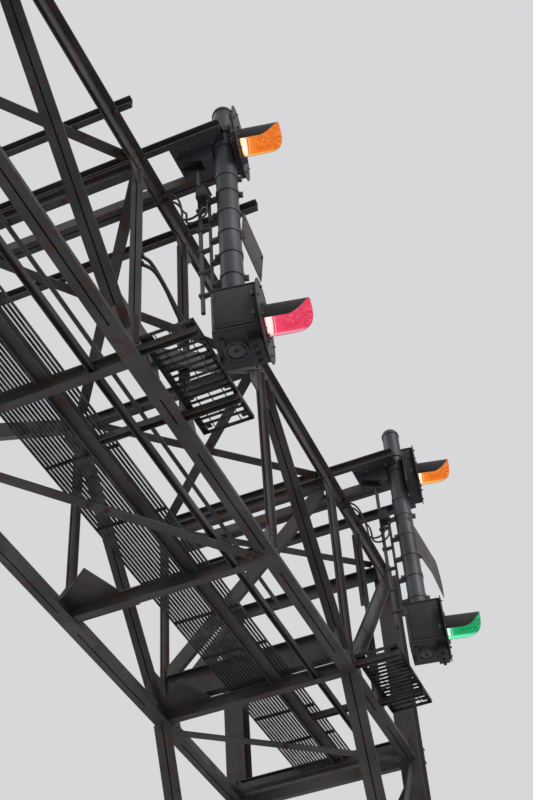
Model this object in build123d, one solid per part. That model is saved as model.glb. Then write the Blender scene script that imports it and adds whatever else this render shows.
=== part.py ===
from build123d import *
import os
from math import atan2, cos, hypot, radians, sin, tan

# Railway signal gantry: a box truss of riveted steel angles carried across the
# tracks on two pairs of tapered lattice legs, with a grating catwalk along its
# bottom and signal masts hung in front of it on beams that cross its top.
# Millimetres. X is the way the signals face, Y runs along the truss, Z is up.

# Truss, between the working lines of its members
truss_width = 1800.0
truss_height = 2135.0
bottom_chord_level = 7900.0
middle_bay = 2360.0
side_bay = 1780.0
tower_bay = 1760.0

# Chords: two angles back to back on the gusset plates
gusset_thickness = 12.0
chord_depth = 150.0
chord_flange = 60.0
chord_thickness = 12.0

# Posts and diagonals of the sides
post_width = 80.0
post_outstand = 38.0
diagonal_width = 130.0
diagonal_outstand = 60.0
web_thickness = 10.0
member_clearance = 8.0

# Gusset plates: wide where two diagonals meet, narrow where only a post ends
gusset_length = 740.0
gusset_height = 380.0
gusset_corner = 150.0
post_gusset_length = 330.0
post_gusset_height = 250.0
splice_length = 260.0

# Deck plates in the corners of the back chord and the struts that end the middle bays
deck_plate_inner = 430.0
deck_plate_outer = 200.0
deck_plate_root = 150.0
deck_plate_waist = 355.0
deck_plate_reach = 537.0
deck_plate_thickness = 8.0

# Struts and flat bracing between the two sides
strut_depth = 120.0
strut_width = 75.0
strut_thickness = 10.0
brace_width = 95.0
brace_thickness = 8.0

# Portal frame across the truss above each raking leg
portal_depth = 290.0
portal_width = 90.0
portal_thickness = 10.0
portal_gap = 60.0
sway_depth = 140.0
sway_width = 50.0
sway_thickness = 10.0

# Legs
leg_depth = 200.0
leg_flange_thickness = 14.0
leg_web_thickness = 12.0
haunch_level = 4750.0
haunch_spread = 650.0
foot_spread = 430.0
rake_depth = 120.0
rake_flange = 75.0
rake_thickness = 12.0
lacing_width = 80.0
haunch_panels = 2
leg_panels = 4
tie_depth = 150.0
tie_width = 60.0
tie_thickness = 10.0
end_tie_rise = 60.0
middle_tie_level = 4900.0
low_tie_level = 2400.0
base_length = 900.0
base_width = 420.0
base_thickness = 30.0
anchor_radius = 17.0
anchor_edge = 60.0

# Catwalk
walk_width = 590.0
walk_back_margin = 676.0
grating_pitch = 29.5
grating_bar = 6.0
grating_depth = 32.0
cross_bar = 8.0
cross_bars = 2
bearer_size = 60.0
bearer_thickness = 8.0
stringer_depth = 50.0
stringer_width = 110.0
stringer_thickness = 8.0
stringer_margin = 401.0
edge_stringer_width = 50.0
edge_stringer_margin = 790.0
panel_gap = 12.0

# Cable pipe hung under the top struts
pipe_diameter = 42.0
pipe_wall = 4.0
pipe_margin = 633.0

# Masts and the beams that carry them
near_mast_y = 165.0
far_mast_y = 4330.0
mast_offset = 654.0
mast_diameter = 164.0
mast_wall = 8.0
mast_above_chord = 490.0
mast_tail = 20.0
cap_diameter = 176.0
beam_depth = 100.0
beam_flange = 50.0
beam_thickness = 9.0
beam_pair_gap = 12.0
stub_beam_offset = -620.0
low_beam_offset = -155.0
high_beam_offset = 176.0
outer_beam_offset = 670.0
beam_tail = 150.0
stub_reach = 170.0
beam_past_mast = 30.0
bracket_start = 250.0
bracket_thickness = 14.0
fit_clearance = 0.3
conduit_diameter = 26.0
conduit_offset = 150.0
conduit_top_drop = 420.0
conduit_low_drop = 1640.0
clamp_pitch = 240.0
clamp_depth = 30.0
clamp_width = 40.0

# Signal heads
head_turn = 10.0
lens_diameter = 213.0
lens_clearance = 5.0
lens_rise = 25.0
hood_wall = 3.0
hood_length = 317.0
hood_open_angle = 110.0
hood_corner = 165.0
hood_drop = 3.0
disc_diameter = 590.0
disc_thickness = 3.0
disc_offset = 205.0
near_upper_disc_offset = 130.0
housing_width = 350.0
housing_height = 430.0
housing_depth = 330.0
housing_corner = 30.0
near_upper_drop = -83.0
near_lower_drop = 2001.0
far_upper_drop = 55.0
far_lower_drop = 1865.0

# Number plate of the near mast
plate_length = 430.0
plate_height = 285.0
plate_thickness = 3.0
plate_drop = 955.0
plate_side_reach = 205.0
plate_tilt = 6.0

# Plate of the far mast, which hangs askew: how far each corner is out from the
# mast, and how far below the plate's top edge
far_plate_drop = 695.0
far_plate_twist = 10.5
far_plate_root = (-15.0, 320.0)
far_plate_neck = (31.0, 0.0)
far_plate_shoulder = (396.0, 179.0)
far_plate_bow = (442.0, 357.0)
far_plate_tip = (439.0, 582.0)
far_plate_hollow = (251.0, 404.0)

# Platforms under the masts
platform_start = -270.0
platform_length = 1020.0
platform_width = 390.0
platform_level = 20.0
platform_gap = 12.0
platform_edge = 40.0
platform_bar_pitch = 57.0
platform_bar = 28.0
platform_beam_depth = 50.0
platform_beam_width = 60.0
platform_low_beam = -200.0
platform_high_beam = 490.0
hanger_offset = 640.0

half_width = truss_width / 2
stations = [-(middle_bay + side_bay + tower_bay), -(middle_bay + side_bay), -middle_bay, 0.0]
stations += [-y for y in reversed(stations[:-1])]
end_y = stations[-1]
knee_y = stations[-2]
top_level = bottom_chord_level + truss_height
chord_end = end_y - leg_depth / 2
walk_end = chord_end - tie_width
walk_level = bottom_chord_level + strut_depth / 2
walk_back = -half_width + walk_back_margin
half_gusset = gusset_thickness / 2
inner_face = half_width - half_gusset - chord_thickness
post_face = half_width - half_gusset - post_outstand
flange_edge = half_width - half_gusset - chord_flange
top_strut_level = top_level + chord_depth / 2 - chord_thickness - brace_thickness - strut_depth / 2
mast_x = half_width + mast_offset
hanger_stations = [near_mast_y + hanger_offset, far_mast_y + hanger_offset]
SIDES = {"front": 1, "back": -1}


def bar(start, end, profile, across):
    """Extrude a profile from start to end; across is the profile's own x direction."""
    line = Vector(*end) - Vector(*start)
    plane = Plane(origin=start, x_dir=across, z_dir=line.normalized())
    return extrude(plane * profile, amount=line.length, dir=plane.z_dir)


def block(x0, x1, y0, y1, z0, z1):
    """A plain box from its two corners."""
    centre = ((x0 + x1) / 2, (y0 + y1) / 2, (z0 + z1) / 2)
    return Pos(*centre) * Box(abs(x1 - x0), abs(y1 - y0), abs(z1 - z0))


def side_plate(points, x, thickness):
    """A plate in the plane of a side, from (y, z) points."""
    plane = Plane(origin=(x - thickness / 2, 0, 0), x_dir=(0, 1, 0), z_dir=(1, 0, 0))
    return extrude(plane * make_face(Polyline(*points, close=True)), amount=thickness, dir=plane.z_dir)


def angle_profile(wide, outstand, thick, offset):
    """One angle, its wide leg flat on x = offset and its other leg out at the low y end."""
    low = -wide / 2
    points = [
        (offset, low), (offset + outstand, low), (offset + outstand, low + thick),
        (offset + thick, low + thick), (offset + thick, wide / 2), (offset, wide / 2),
    ]
    return make_face(Polyline(*points, close=True))


def beam_profile(depth, width, web, flange):
    """An I section: a web along y and a flange at each end of it."""
    profile = Rectangle(web, depth)
    for sign in (1, -1):
        profile += Pos(0, sign * (depth - flange) / 2) * Rectangle(width, flange)
    return profile


def channel_profile(depth, width, thick, flip=False):
    """A channel, its web on x = 0 and its flanges out along x, or the other way when flipped."""
    points = [
        (0, -depth / 2), (width, -depth / 2), (width, -depth / 2 + thick), (thick, -depth / 2 + thick),
        (thick, depth / 2 - thick), (width, depth / 2 - thick), (width, depth / 2), (0, depth / 2),
    ]
    profile = make_face(Polyline(*points, close=True))
    return mirror(profile, about=Plane.YZ) if flip else profile


def angle_pair(start, end, wide, outstand, thick, flip=False):
    """Two angles back to back on the gusset plates, as two solids."""
    profile = angle_profile(wide, outstand, thick, half_gusset)
    if flip:
        profile = mirror(profile, about=Plane.XZ)
    other = mirror(profile, about=Plane.YZ)
    across = (1, 0, 0)
    return [bar(start, end, profile, across), bar(start, end, other, across)]


def crossed(whole, cut):
    """Two bars that cross: one runs through, the other is in two lengths beside it."""
    return [whole] + list((cut - whole).solids())


def chord(x, level, flange_up):
    """A chord: a pair of angles from tower to tower."""
    start, end = (x, -chord_end, level), (x, chord_end, level)
    return angle_pair(start, end, chord_depth, chord_flange, chord_thickness, flip=not flange_up)


def post_span():
    """The lowest and highest level of a post, clear of the chords."""
    reach = chord_depth / 2 + member_clearance
    return bottom_chord_level + reach, top_level - reach


def posts(x):
    """The upright of each inner station, on both faces of the gusset plates."""
    low, high = post_span()
    solids = []
    for y in stations[1:-1]:
        solids += angle_pair((x, y, low), (x, y, high), post_width, post_outstand, web_thickness, flip=y > 0)
    return solids


def diagonal_ends(low_y, high_y):
    """The shares of a diagonal's length kept clear of the chords and of the posts or legs at its ends."""
    run = abs(high_y - low_y)
    slope = atan2(truss_height, run)
    half = diagonal_width / 2
    from_chord = (chord_depth / 2 + member_clearance + half * cos(slope)) / sin(slope)
    shares = []
    for y in (low_y, high_y):
        upright = leg_depth if abs(y) == end_y else post_width
        from_upright = (upright / 2 + member_clearance + half * sin(slope)) / cos(slope)
        shares.append(max(from_chord, from_upright) / hypot(run, truss_height))
    return shares


def diagonals(x):
    """The zigzag of diagonals: up from midspan, down to the knee and up to the outer leg."""
    solids = []
    for low, high in ((0.0, middle_bay), (knee_y, middle_bay), (knee_y, end_y)):
        for hand in (1, -1):
            low_y, high_y = hand * low, hand * high
            start, finish = diagonal_ends(low_y, high_y)
            places = [(x, low_y + (high_y - low_y) * share, bottom_chord_level + truss_height * share)
                      for share in (start, 1 - finish)]
            solids += angle_pair(*places, diagonal_width, diagonal_outstand, web_thickness,
                                 flip=high_y > low_y)
    return solids


def diagonal_level(y):
    """The level of the diagonals' working line at y, and its slope there."""
    reach = abs(y)
    if reach < middle_bay:
        slope = truss_height / middle_bay
        return bottom_chord_level + slope * reach, slope
    if reach < knee_y:
        slope = truss_height / side_bay
        return top_level - slope * (reach - middle_bay), -slope
    slope = truss_height / tower_bay
    return bottom_chord_level + slope * (reach - knee_y), slope


def hangers(x):
    """Light posts beside each mast, in two lengths, clear of the diagonal that they pass."""
    low, high = post_span()
    solids = []
    for y in hanger_stations:
        level, slope = diagonal_level(y)
        half = (diagonal_width / 2 + member_clearance) * hypot(1, slope) + abs(slope) * post_width / 2
        for z0, z1 in ((low, level - half), (level + half, high)):
            solids += angle_pair((x, y, z0), (x, y, z1), post_width, post_outstand, web_thickness)
    return solids


def gusset(x, y, level, up, length, height):
    """A gusset plate at a station, its outer corners cut, stopped at the outer legs."""
    low = level - up * chord_depth / 2
    high = level + up * height
    left, right = y - length / 2, y + length / 2
    corner = min(gusset_corner, length / 3)
    shoulder = level + up * chord_depth / 2
    points = [(left, low), (right, low), (right, shoulder), (right - corner, high), (left + corner, high),
              (left, shoulder)]
    plate = side_plate(points, x, gusset_thickness)
    span = block(x - leg_depth, x + leg_depth, -chord_end, chord_end, level - truss_height, level + truss_height)
    return plate & span


def gussets(x):
    """The gusset plates at the stations of one side."""
    solids = []
    for index, y in enumerate(stations):
        meets_below = index % 2 == 1
        for level, up, wide in ((bottom_chord_level, 1, meets_below), (top_level, -1, not meets_below)):
            size = (gusset_length, gusset_height) if wide else (post_gusset_length, post_gusset_height)
            solids.append(gusset(x, y, level, up, *size))
    return solids


def hanger_plates(x):
    """The plates that hold the hangers to the chords and to the diagonal that they pass."""
    solids = []
    for y in hanger_stations:
        solids.append(gusset(x, y, bottom_chord_level, 1, post_gusset_length, post_gusset_height))
        solids.append(gusset(x, y, top_level, -1, post_gusset_length, post_gusset_height))
        level, _ = diagonal_level(y)
        left, right = y - post_width / 2, y + post_width / 2
        reach = splice_length / 2 + diagonal_width
        points = [(left, level - reach), (right, level - reach), (right, level + reach), (left, level + reach)]
        solids.append(side_plate(points, x, gusset_thickness))
    return solids


def struts(level):
    """Cross struts between the two sides, butted on the inner faces of the chords."""
    profile = beam_profile(strut_depth, strut_width, strut_thickness, strut_thickness)
    return [bar((-inner_face, y, level), (inner_face, y, level), profile, (0, 1, 0)) for y in stations[1:-1]]


def flat_brace(y_back, y_front, level):
    """A flat bar across the truss, hung under a level, from the back chord to the front chord."""
    reach = inner_face - brace_width / 2
    setback = (y_front - y_back) * (half_width - reach) / truss_width
    start, end = (-reach, y_back + setback, level), (reach, y_front - setback, level)
    profile = Pos(0, -brace_thickness / 2) * Rectangle(brace_width, brace_thickness)
    line = (Vector(*end) - Vector(*start)).normalized()
    return bar(start, end, profile, line.cross(Vector(0, 0, -1)))


def top_bracing():
    """Crossed flat bars in every bay, under the top flanges of the top chords."""
    level = top_level + chord_depth / 2 - chord_thickness
    ends = [-walk_end] + stations[1:-1] + [walk_end]
    solids = []
    for y0, y1 in zip(ends[:-1], ends[1:]):
        solids += crossed(flat_brace(y0, y1, level), flat_brace(y1, y0, level))
    return solids


def bottom_bracing():
    """Single flat bars under the middle bays and the tower bays."""
    level = bottom_chord_level - chord_depth / 2
    return [flat_brace(hand * back, hand * front, level) for hand in (1, -1)
            for back, front in ((0.0, middle_bay), (knee_y + rake_depth, chord_end))]


def portal(y):
    """The deep beam across the truss at a knee, and the sway brace from it up to the front top strut."""
    low = walk_level + portal_gap
    high = low + portal_depth
    profile = beam_profile(portal_depth, portal_width, portal_thickness, portal_thickness)
    middle = (low + high) / 2
    beam = bar((-post_face, y, middle), (post_face, y, middle), profile, (0, 1, 0))
    top = top_strut_level - strut_depth / 2
    slope = (top - high) / (2 * post_face)
    start = (-post_face - sway_depth, y - sway_width / 2, high - sway_depth * slope)
    end = (post_face + sway_depth, y - sway_width / 2, top + sway_depth * slope)
    brace = bar(start, end, channel_profile(sway_depth, sway_width, sway_thickness), (0, 1, 0))
    return [beam, brace & block(-post_face, post_face, y - sway_width, y + sway_width, high, top)]


def outer_leg(x, hand):
    """The upright outer leg, from its base plate to the top chord."""
    y, top = hand * end_y, top_level + chord_depth / 2
    profile = beam_profile(leg_depth, leg_depth, leg_web_thickness, leg_flange_thickness)
    return bar((x, y, base_thickness), (x, y, top), profile, (1, 0, 0))


def rake_y(z):
    """How far the raking leg stands from midspan at a height: it leans out more above the haunch."""
    haunch_y = end_y - haunch_spread
    if z > haunch_level:
        return haunch_y + (knee_y - haunch_y) * (z - haunch_level) / (bottom_chord_level - haunch_level)
    share = (z - base_thickness) / (haunch_level - base_thickness)
    return end_y - foot_spread + (foot_spread - haunch_spread) * share


def raking_leg(x, hand):
    """The raking inner leg, bent at the haunch, cut level at the base plate and under the bottom chord."""
    under_chord = bottom_chord_level - chord_depth / 2
    lengths = []
    for low, high in ((base_thickness, haunch_level), (haunch_level, under_chord)):
        drift = (rake_y(high) - rake_y(low)) / (high - low) * rake_depth
        start = (x, hand * (rake_y(low) - drift), low - rake_depth)
        end = (x, hand * (rake_y(high) + drift), high + rake_depth)
        pair = angle_pair(start, end, rake_depth, rake_flange, rake_thickness, flip=hand < 0)
        span = block(x - leg_depth, x + leg_depth, 0, hand * (end_y + leg_depth), low, high)
        lengths.append([solid & span for solid in pair])
    return [lower + upper for lower, upper in zip(*lengths)]


def lacing(x, hand):
    """The flat lattice between the two legs of a column, fused where its bars cross."""
    top = bottom_chord_level - chord_depth / 2
    outline = [(chord_end, base_thickness), (chord_end, top), (rake_y(top), top),
               (rake_y(haunch_level), haunch_level), (rake_y(base_thickness), base_thickness)]
    inside = side_plate([(hand * y, z) for y, z in outline], x, gusset_thickness)
    first, last = top - lacing_width, base_thickness + rake_depth
    levels = [first - (first - haunch_level) * i / haunch_panels for i in range(haunch_panels)]
    levels += [haunch_level - (haunch_level - last) * i / leg_panels for i in range(leg_panels + 1)]
    flat = Rectangle(gusset_thickness, lacing_width)
    lattice = [bar((x, hand * knee_y, level), (x, hand * end_y, level), flat, (1, 0, 0)) for level in levels[1:]]
    for index, (high, low) in enumerate(zip(levels[:-1], levels[1:])):
        upper_y, lower_y = (chord_end, rake_y(low)) if index % 2 == 0 else (rake_y(high), chord_end)
        start, end = Vector(x, hand * upper_y, high), Vector(x, hand * lower_y, low)
        past = (end - start).normalized() * lacing_width
        lattice.append(bar(tuple(start - past), tuple(end + past), flat, (1, 0, 0)))
    return sum(lattice[1:], lattice[0]) & inside


def base_plate(x, hand):
    """A base plate under both legs of a column, with four anchor holes."""
    y = hand * (end_y - foot_spread / 2)
    plate = block(x - base_width / 2, x + base_width / 2, y - base_length / 2, y + base_length / 2,
                  0, base_thickness)
    for sx in (1, -1):
        for sy in (1, -1):
            hole = Cylinder(anchor_radius, 3 * base_thickness)
            plate -= Pos(x + sx * (base_width / 2 - anchor_edge), y + sy * (base_length / 2 - anchor_edge), 0) * hole
    return plate


def tower_bracing(hand):
    """Ties between the front and back columns, and crossed bars on their outer faces below the truss."""
    outer, inner = hand * (end_y + leg_depth / 2), hand * chord_end
    reach = half_width + leg_depth / 2
    end_tie_level = bottom_chord_level + end_tie_rise
    outward = channel_profile(tie_depth, tie_width, tie_thickness, flip=hand < 0)
    inward = channel_profile(tie_depth, tie_width, tie_thickness, flip=hand > 0)
    levels = [end_tie_level, middle_tie_level, low_tie_level]
    solids = [bar((-reach, outer, z), (reach, outer, z), outward, (0, 1, 0)) for z in levels]
    solids += [bar((-flange_edge, inner, z), (flange_edge, inner, z), inward, (0, 1, 0))
               for z in (top_level, end_tie_level)]
    flat = Pos(0, brace_thickness / 2) * Rectangle(brace_width, brace_thickness)
    for high, low in zip(levels[:-1], levels[1:]):
        pair = []
        for sign in (1, -1):
            start, end = (-sign * half_width, outer, low + tie_depth), (sign * half_width, outer, high - tie_depth)
            line = (Vector(*end) - Vector(*start)).normalized()
            pair.append(bar(start, end, flat, Vector(0, hand, 0).cross(line)))
        solids += crossed(*pair)
    return solids


def grating(x0, x1, y0, y1, level, slots_x, slots_y, rib_x, rib_y):
    """A grating panel, cut as rows of slots between its bearing bars and cross bars."""
    step_x = (x1 - x0 - rib_x) / slots_x
    step_y = (y1 - y0 - rib_y) / slots_y
    slots = []
    for i in range(slots_x):
        for j in range(slots_y):
            left, right = x0 + i * step_x + rib_x, x0 + (i + 1) * step_x
            near, far = y0 + j * step_y + rib_y, y0 + (j + 1) * step_y
            corners = [(left, near, level), (right, near, level), (right, far, level), (left, far, level)]
            slots.append(Wire.make_polygon(corners, close=True))
    rim = [(x0, y0, level), (x1, y0, level), (x1, y1, level), (x0, y1, level)]
    plan = Face(Wire.make_polygon(rim, close=True), slots)
    return extrude(plan, amount=grating_depth, dir=(0, 0, 1))


def catwalk():
    """A grating panel for each bay."""
    slots = int(walk_width // grating_pitch)
    front = walk_back + slots * grating_pitch + grating_bar
    ends = [-walk_end] + stations[1:-1] + [walk_end]
    return [grating(walk_back, front, y0 + panel_gap / 2, y1 - panel_gap / 2, walk_level, slots,
                    cross_bars + 1, grating_bar, cross_bar) for y0, y1 in zip(ends[:-1], ends[1:])]


def end_bearer(hand):
    """The angle across the truss that carries the catwalk's end."""
    inner, outer = hand * (walk_end - bearer_size), hand * walk_end
    half = bearer_thickness / 2
    upright = block(-inner_face, inner_face, inner - half, inner + half, walk_level - bearer_size, walk_level)
    flat = block(-inner_face, inner_face, inner, outer, walk_level - bearer_thickness, walk_level)
    return upright + flat


def stringers():
    """Channels along the truss: a wide one under the catwalk's front edge, a narrow one nearer the chord."""
    end = walk_end - bearer_size - bearer_thickness / 2
    ends = [-end] + stations[1:-1] + [end]
    wide_x = walk_back + stringer_margin + stringer_width / 2
    edge_x = walk_back + edge_stringer_margin + edge_stringer_width / 2
    solids = []
    for x, width, top, clear in ((wide_x, stringer_width, walk_level, strut_width / 2),
                                 (edge_x, edge_stringer_width, walk_level - stringer_depth, strut_thickness / 2)):
        profile = channel_profile(width, stringer_depth, stringer_thickness)
        for y0, y1 in zip(ends[:-1], ends[1:]):
            start = y0 if y0 == -end else y0 + clear
            finish = y1 if y1 == end else y1 - clear
            solids.append(bar((x, start, top), (x, finish, top), profile, (0, 0, -1)))
    return solids


def deck_plates():
    """Plates on the bottom struts, in the corners behind the catwalk."""
    back = -inner_face
    solids = []
    for hand in (1, -1):
        for y in (middle_bay, knee_y):
            points = [(back, y - deck_plate_root), (back + deck_plate_waist, y - deck_plate_inner),
                      (back + deck_plate_reach, y + deck_plate_outer), (back, y + deck_plate_outer)]
            outline = make_face(Polyline(*[(x, hand * along) for x, along in points], close=True))
            plate = extrude(outline, amount=deck_plate_thickness, dir=(0, 0, 1))
            solids.append(Pos(0, 0, walk_level) * plate)
    return solids


def cable_pipe():
    """The pipe along the truss, under the top struts."""
    level = top_strut_level - strut_depth / 2 - pipe_diameter / 2
    x = -half_width + pipe_margin
    ring = Circle(pipe_diameter / 2) - Circle(pipe_diameter / 2 - pipe_wall)
    return bar((x, -walk_end, level), (x, walk_end, level), ring, (1, 0, 0))


def crossbeam(y, end, hand):
    """A channel laid across both top chords, out to end, its flanges facing hand along the truss."""
    level = top_level + chord_depth / 2 + beam_depth / 2
    profile = channel_profile(beam_depth, beam_flange, beam_thickness, flip=hand < 0)
    return bar((-half_width - beam_tail, y, level), (end, y, level), profile, (0, 1, 0))


def outriggers(mast_y, stub):
    """A beam on one side of the mast, a pair on the other, and one or two farther out."""
    end = mast_x + beam_past_mast
    pair_y = mast_y + high_beam_offset
    beams = [(mast_y + low_beam_offset, end, -1), (pair_y, end, 1),
             (pair_y + 2 * beam_flange + beam_pair_gap, end, -1), (mast_y + outer_beam_offset, mast_x, -1)]
    if stub:
        beams.append((mast_y + stub_beam_offset, half_width + stub_reach, -1))
    return [crossbeam(*beam) for beam in beams]


def mast_bracket(mast_y):
    """Two plates between the long beams, notched round the mast."""
    low = top_level + chord_depth / 2
    notch = Pos(mast_x, mast_y, low) * Cylinder(mast_diameter / 2 + fit_clearance, 3 * beam_depth)
    solids = []
    for level in (low, low + beam_depth - bracket_thickness):
        plate = block(half_width + bracket_start, mast_x + beam_past_mast, mast_y + low_beam_offset,
                      mast_y + high_beam_offset, level, level + bracket_thickness)
        solids.append(plate - notch)
    return solids


def mast(mast_y, lower_drop):
    """A hollow pipe mast, from just under its lower lamp case to above the top chord."""
    low = top_level - lower_drop - housing_height / 2 - mast_tail
    ring = Circle(mast_diameter / 2) - Circle(mast_diameter / 2 - mast_wall)
    return bar((mast_x, mast_y, low), (mast_x, mast_y, top_level + mast_above_chord), ring, (1, 0, 0))


def mast_cap(mast_y):
    """The domed cap that closes the top of a mast."""
    dome = Sphere(cap_diameter / 2)
    upper = block(-cap_diameter, cap_diameter, -cap_diameter, cap_diameter, 0, cap_diameter)
    return Pos(mast_x, mast_y, top_level + mast_above_chord) * (dome & upper)


def conduit(mast_y):
    """The cable conduit behind a mast, and the clamps that hold it there."""
    high, low = top_level - conduit_top_drop, top_level - conduit_low_drop
    x, middle = mast_x - conduit_offset, (high + low) / 2
    room = Pos(x, mast_y, middle) * Cylinder(conduit_diameter / 2 + fit_clearance, high - low)
    room += Pos(mast_x, mast_y, middle) * Cylinder(mast_diameter / 2 + fit_clearance, high - low)
    solids = [Pos(x, mast_y, middle) * Cylinder(conduit_diameter / 2, high - low)]
    for index in range(int((high - low) // clamp_pitch)):
        z = high - (index + 0.5) * clamp_pitch
        clamp = block(x, mast_x, mast_y - clamp_width / 2, mast_y + clamp_width / 2,
                      z - clamp_depth / 2, z + clamp_depth / 2)
        solids.append(clamp - room)
    return solids


def at_head(mast_y, drop, offset):
    """The place of a head: the middle of its disc's front face, turned about the mast."""
    return Pos(mast_x, mast_y, top_level - drop) * Rot(0, 0, head_turn) * Pos(offset, 0, 0)


def upper_case(mast_y, drop, offset):
    """The shallow lamp case between the mast and the upper disc."""
    return lamp_case(mast_y, drop, offset, offset - disc_thickness - mast_diameter / 2 - fit_clearance)


def lower_case(mast_y, drop, offset):
    """The deep lamp case that the mast passes through, behind the lower disc."""
    bore = Pos(mast_x, mast_y, top_level - drop) * Cylinder(mast_diameter / 2 + fit_clearance, 2 * housing_height)
    return lamp_case(mast_y, drop, offset, housing_depth) - bore


def lamp_case(mast_y, drop, offset, depth):
    """A closed lamp case behind a disc, its upright edges rounded."""
    case = Pos(-disc_thickness - depth / 2, 0, 0) * Box(depth, housing_width, housing_height)
    return at_head(mast_y, drop, offset) * fillet(case.edges().filter_by(Axis.Z), min(housing_corner, depth / 3))


def disc(mast_y, drop, offset):
    """The round background plate."""
    plate = Rot(0, 90, 0) * Cylinder(disc_diameter / 2, disc_thickness)
    return at_head(mast_y, drop, offset) * Pos(-disc_thickness / 2, 0, 0) * plate


def lens(mast_y, drop, offset):
    """The lamp's lens, a shallow dome seated on the disc."""
    rim = lens_diameter / 2 - lens_clearance
    radius = (rim ** 2 + lens_rise ** 2) / (2 * lens_rise)
    halfway = (radius ** 2 - (rim / 2) ** 2) ** 0.5 - radius + lens_rise
    outline = Polyline((lens_rise, 0), (0, 0), (0, rim))
    outline += ThreePointArc((0, rim), (halfway, rim / 2), (lens_rise, 0))
    return at_head(mast_y, drop, offset) * revolve(make_face(outline), axis=Axis.X)


def hood(mast_y, drop, offset):
    """The cutaway hood: a drooping tube open below, its lower front corners rounded."""
    bore = lens_diameter / 2
    outer = bore + hood_wall
    shell = Pos(0, 0, hood_length / 2) * (Cylinder(outer, hood_length) - Cylinder(bore, hood_length))
    reach = 2 * lens_diameter
    slope = tan(radians(hood_open_angle / 2))
    wedge = Polyline((0, 0), (reach, reach * slope), (reach, -reach * slope), close=True)
    shell -= extrude(make_face(wedge), amount=hood_length)
    inset = outer * cos(radians(hood_open_angle / 2)) - hood_corner
    rounding = block(inset, outer, -outer, outer, hood_length - hood_corner, hood_length)
    rounding -= Pos(inset, 0, hood_length - hood_corner) * Rot(90, 0, 0) * Cylinder(hood_corner, 3 * outer)
    shell -= rounding
    shell = Rot(0, 90 + hood_drop, 0) * Pos(0, 0, -outer * tan(radians(hood_drop))) * shell
    ahead = block(0, 3 * hood_length, -reach, reach, -reach, reach)
    return at_head(mast_y, drop, offset) * (shell & ahead)


def near_plate():
    """The blank number plate of the near mast, its top edge tilted forward."""
    plate = Box(plate_thickness, plate_length, plate_height)
    from_foot = Pos(plate_thickness / 2, plate_side_reach, plate_height / 2)
    foot = Pos(mast_x, near_mast_y, top_level - plate_drop - plate_height / 2) * Rot(0, 0, head_turn)
    return foot * Pos(mast_diameter / 2 + fit_clearance, 0, 0) * Rot(0, plate_tilt, 0) * from_foot * plate


def far_plate():
    """The plate of the far mast: it droops from its root and bows down to a point."""
    corners = (far_plate_root, far_plate_neck, far_plate_shoulder, far_plate_bow, far_plate_tip, far_plate_hollow)
    root, neck, shoulder, bow, tip, hollow = [(out, -down) for out, down in corners]
    outline = Polyline(root, (root[0], neck[1]), neck, shoulder)
    outline += ThreePointArc(shoulder, bow, tip)
    outline += Polyline(tip, hollow, root)
    plate = extrude(Plane.YZ * make_face(outline), amount=plate_thickness, dir=(1, 0, 0))
    hung = Pos(mast_x, far_mast_y, top_level - far_plate_drop) * Rot(0, 0, -far_plate_twist)
    return hung * Pos(mast_diameter / 2 + fit_clearance, 0, 0) * plate


def platform(mast_y):
    """The standing grating between the truss and the mast: flat bars across, on two edge bars."""
    start = mast_y + platform_start
    level = bottom_chord_level + platform_level
    return grating(platform_back, platform_front, start, start + platform_length, level, 1,
                   int(platform_length // platform_bar_pitch), platform_edge, platform_bar)


def platform_beams(mast_y):
    """Channels under a platform, run in to the front chord, and one carried on to the catwalk's stringer."""
    profile = channel_profile(platform_beam_width, platform_beam_depth, tie_thickness)
    level = bottom_chord_level + platform_level
    root = half_width + half_gusset + chord_thickness
    low_y, high_y = mast_y + platform_low_beam, mast_y + platform_high_beam
    lengths = [(root, platform_front, low_y, level), (root, platform_front, high_y, level),
               (walk_back + stringer_margin + stringer_width, inner_face, high_y, walk_level)]
    return [bar((x0, y, top), (x1, y, top), profile, (0, 0, -1)) for x0, x1, y, top in lengths]


platform_back = half_width + half_gusset + chord_flange + platform_gap
platform_front = platform_back + platform_width
nodes = {}
for side, sign in SIDES.items():
    x = sign * half_width
    nodes[f"{side}_top_chord"] = chord(x, top_level, True)
    nodes[f"{side}_bottom_chord"] = chord(x, bottom_chord_level, False)
    nodes[f"{side}_posts"] = posts(x)
    nodes[f"{side}_diagonals"] = diagonals(x)
    nodes[f"{side}_gussets"] = gussets(x)
nodes["front_posts"] += hangers(half_width)
nodes["front_gussets"] += hanger_plates(half_width)
nodes["top_struts"] = struts(top_strut_level)
nodes["bottom_struts"] = struts(bottom_chord_level)
nodes["top_bracing"] = top_bracing()
nodes["bottom_bracing"] = bottom_bracing()
nodes["portal_frames"] = portal(knee_y) + portal(-knee_y)
nodes["deck_plates"] = deck_plates()
nodes["catwalk_grating"] = catwalk()
nodes["catwalk_bearers"] = [end_bearer(1), end_bearer(-1)] + stringers()
nodes["cable_pipe"] = [cable_pipe()]
for tower, hand in {"near": -1, "far": 1}.items():
    xs = (half_width, -half_width)
    nodes[f"{tower}_outer_legs"] = [outer_leg(x, hand) for x in xs]
    nodes[f"{tower}_raking_legs"] = [solid for x in xs for solid in raking_leg(x, hand)]
    nodes[f"{tower}_leg_lacing"] = [lacing(x, hand) for x in xs]
    nodes[f"{tower}_base_plates"] = [base_plate(x, hand) for x in xs]
    nodes[f"{tower}_tower_bracing"] = tower_bracing(hand)
signals = {
    "near": (near_mast_y, (near_upper_drop, near_upper_disc_offset), (near_lower_drop, disc_offset), near_plate()),
    "far": (far_mast_y, (far_upper_drop, disc_offset), (far_lower_drop, disc_offset), far_plate()),
}
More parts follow.
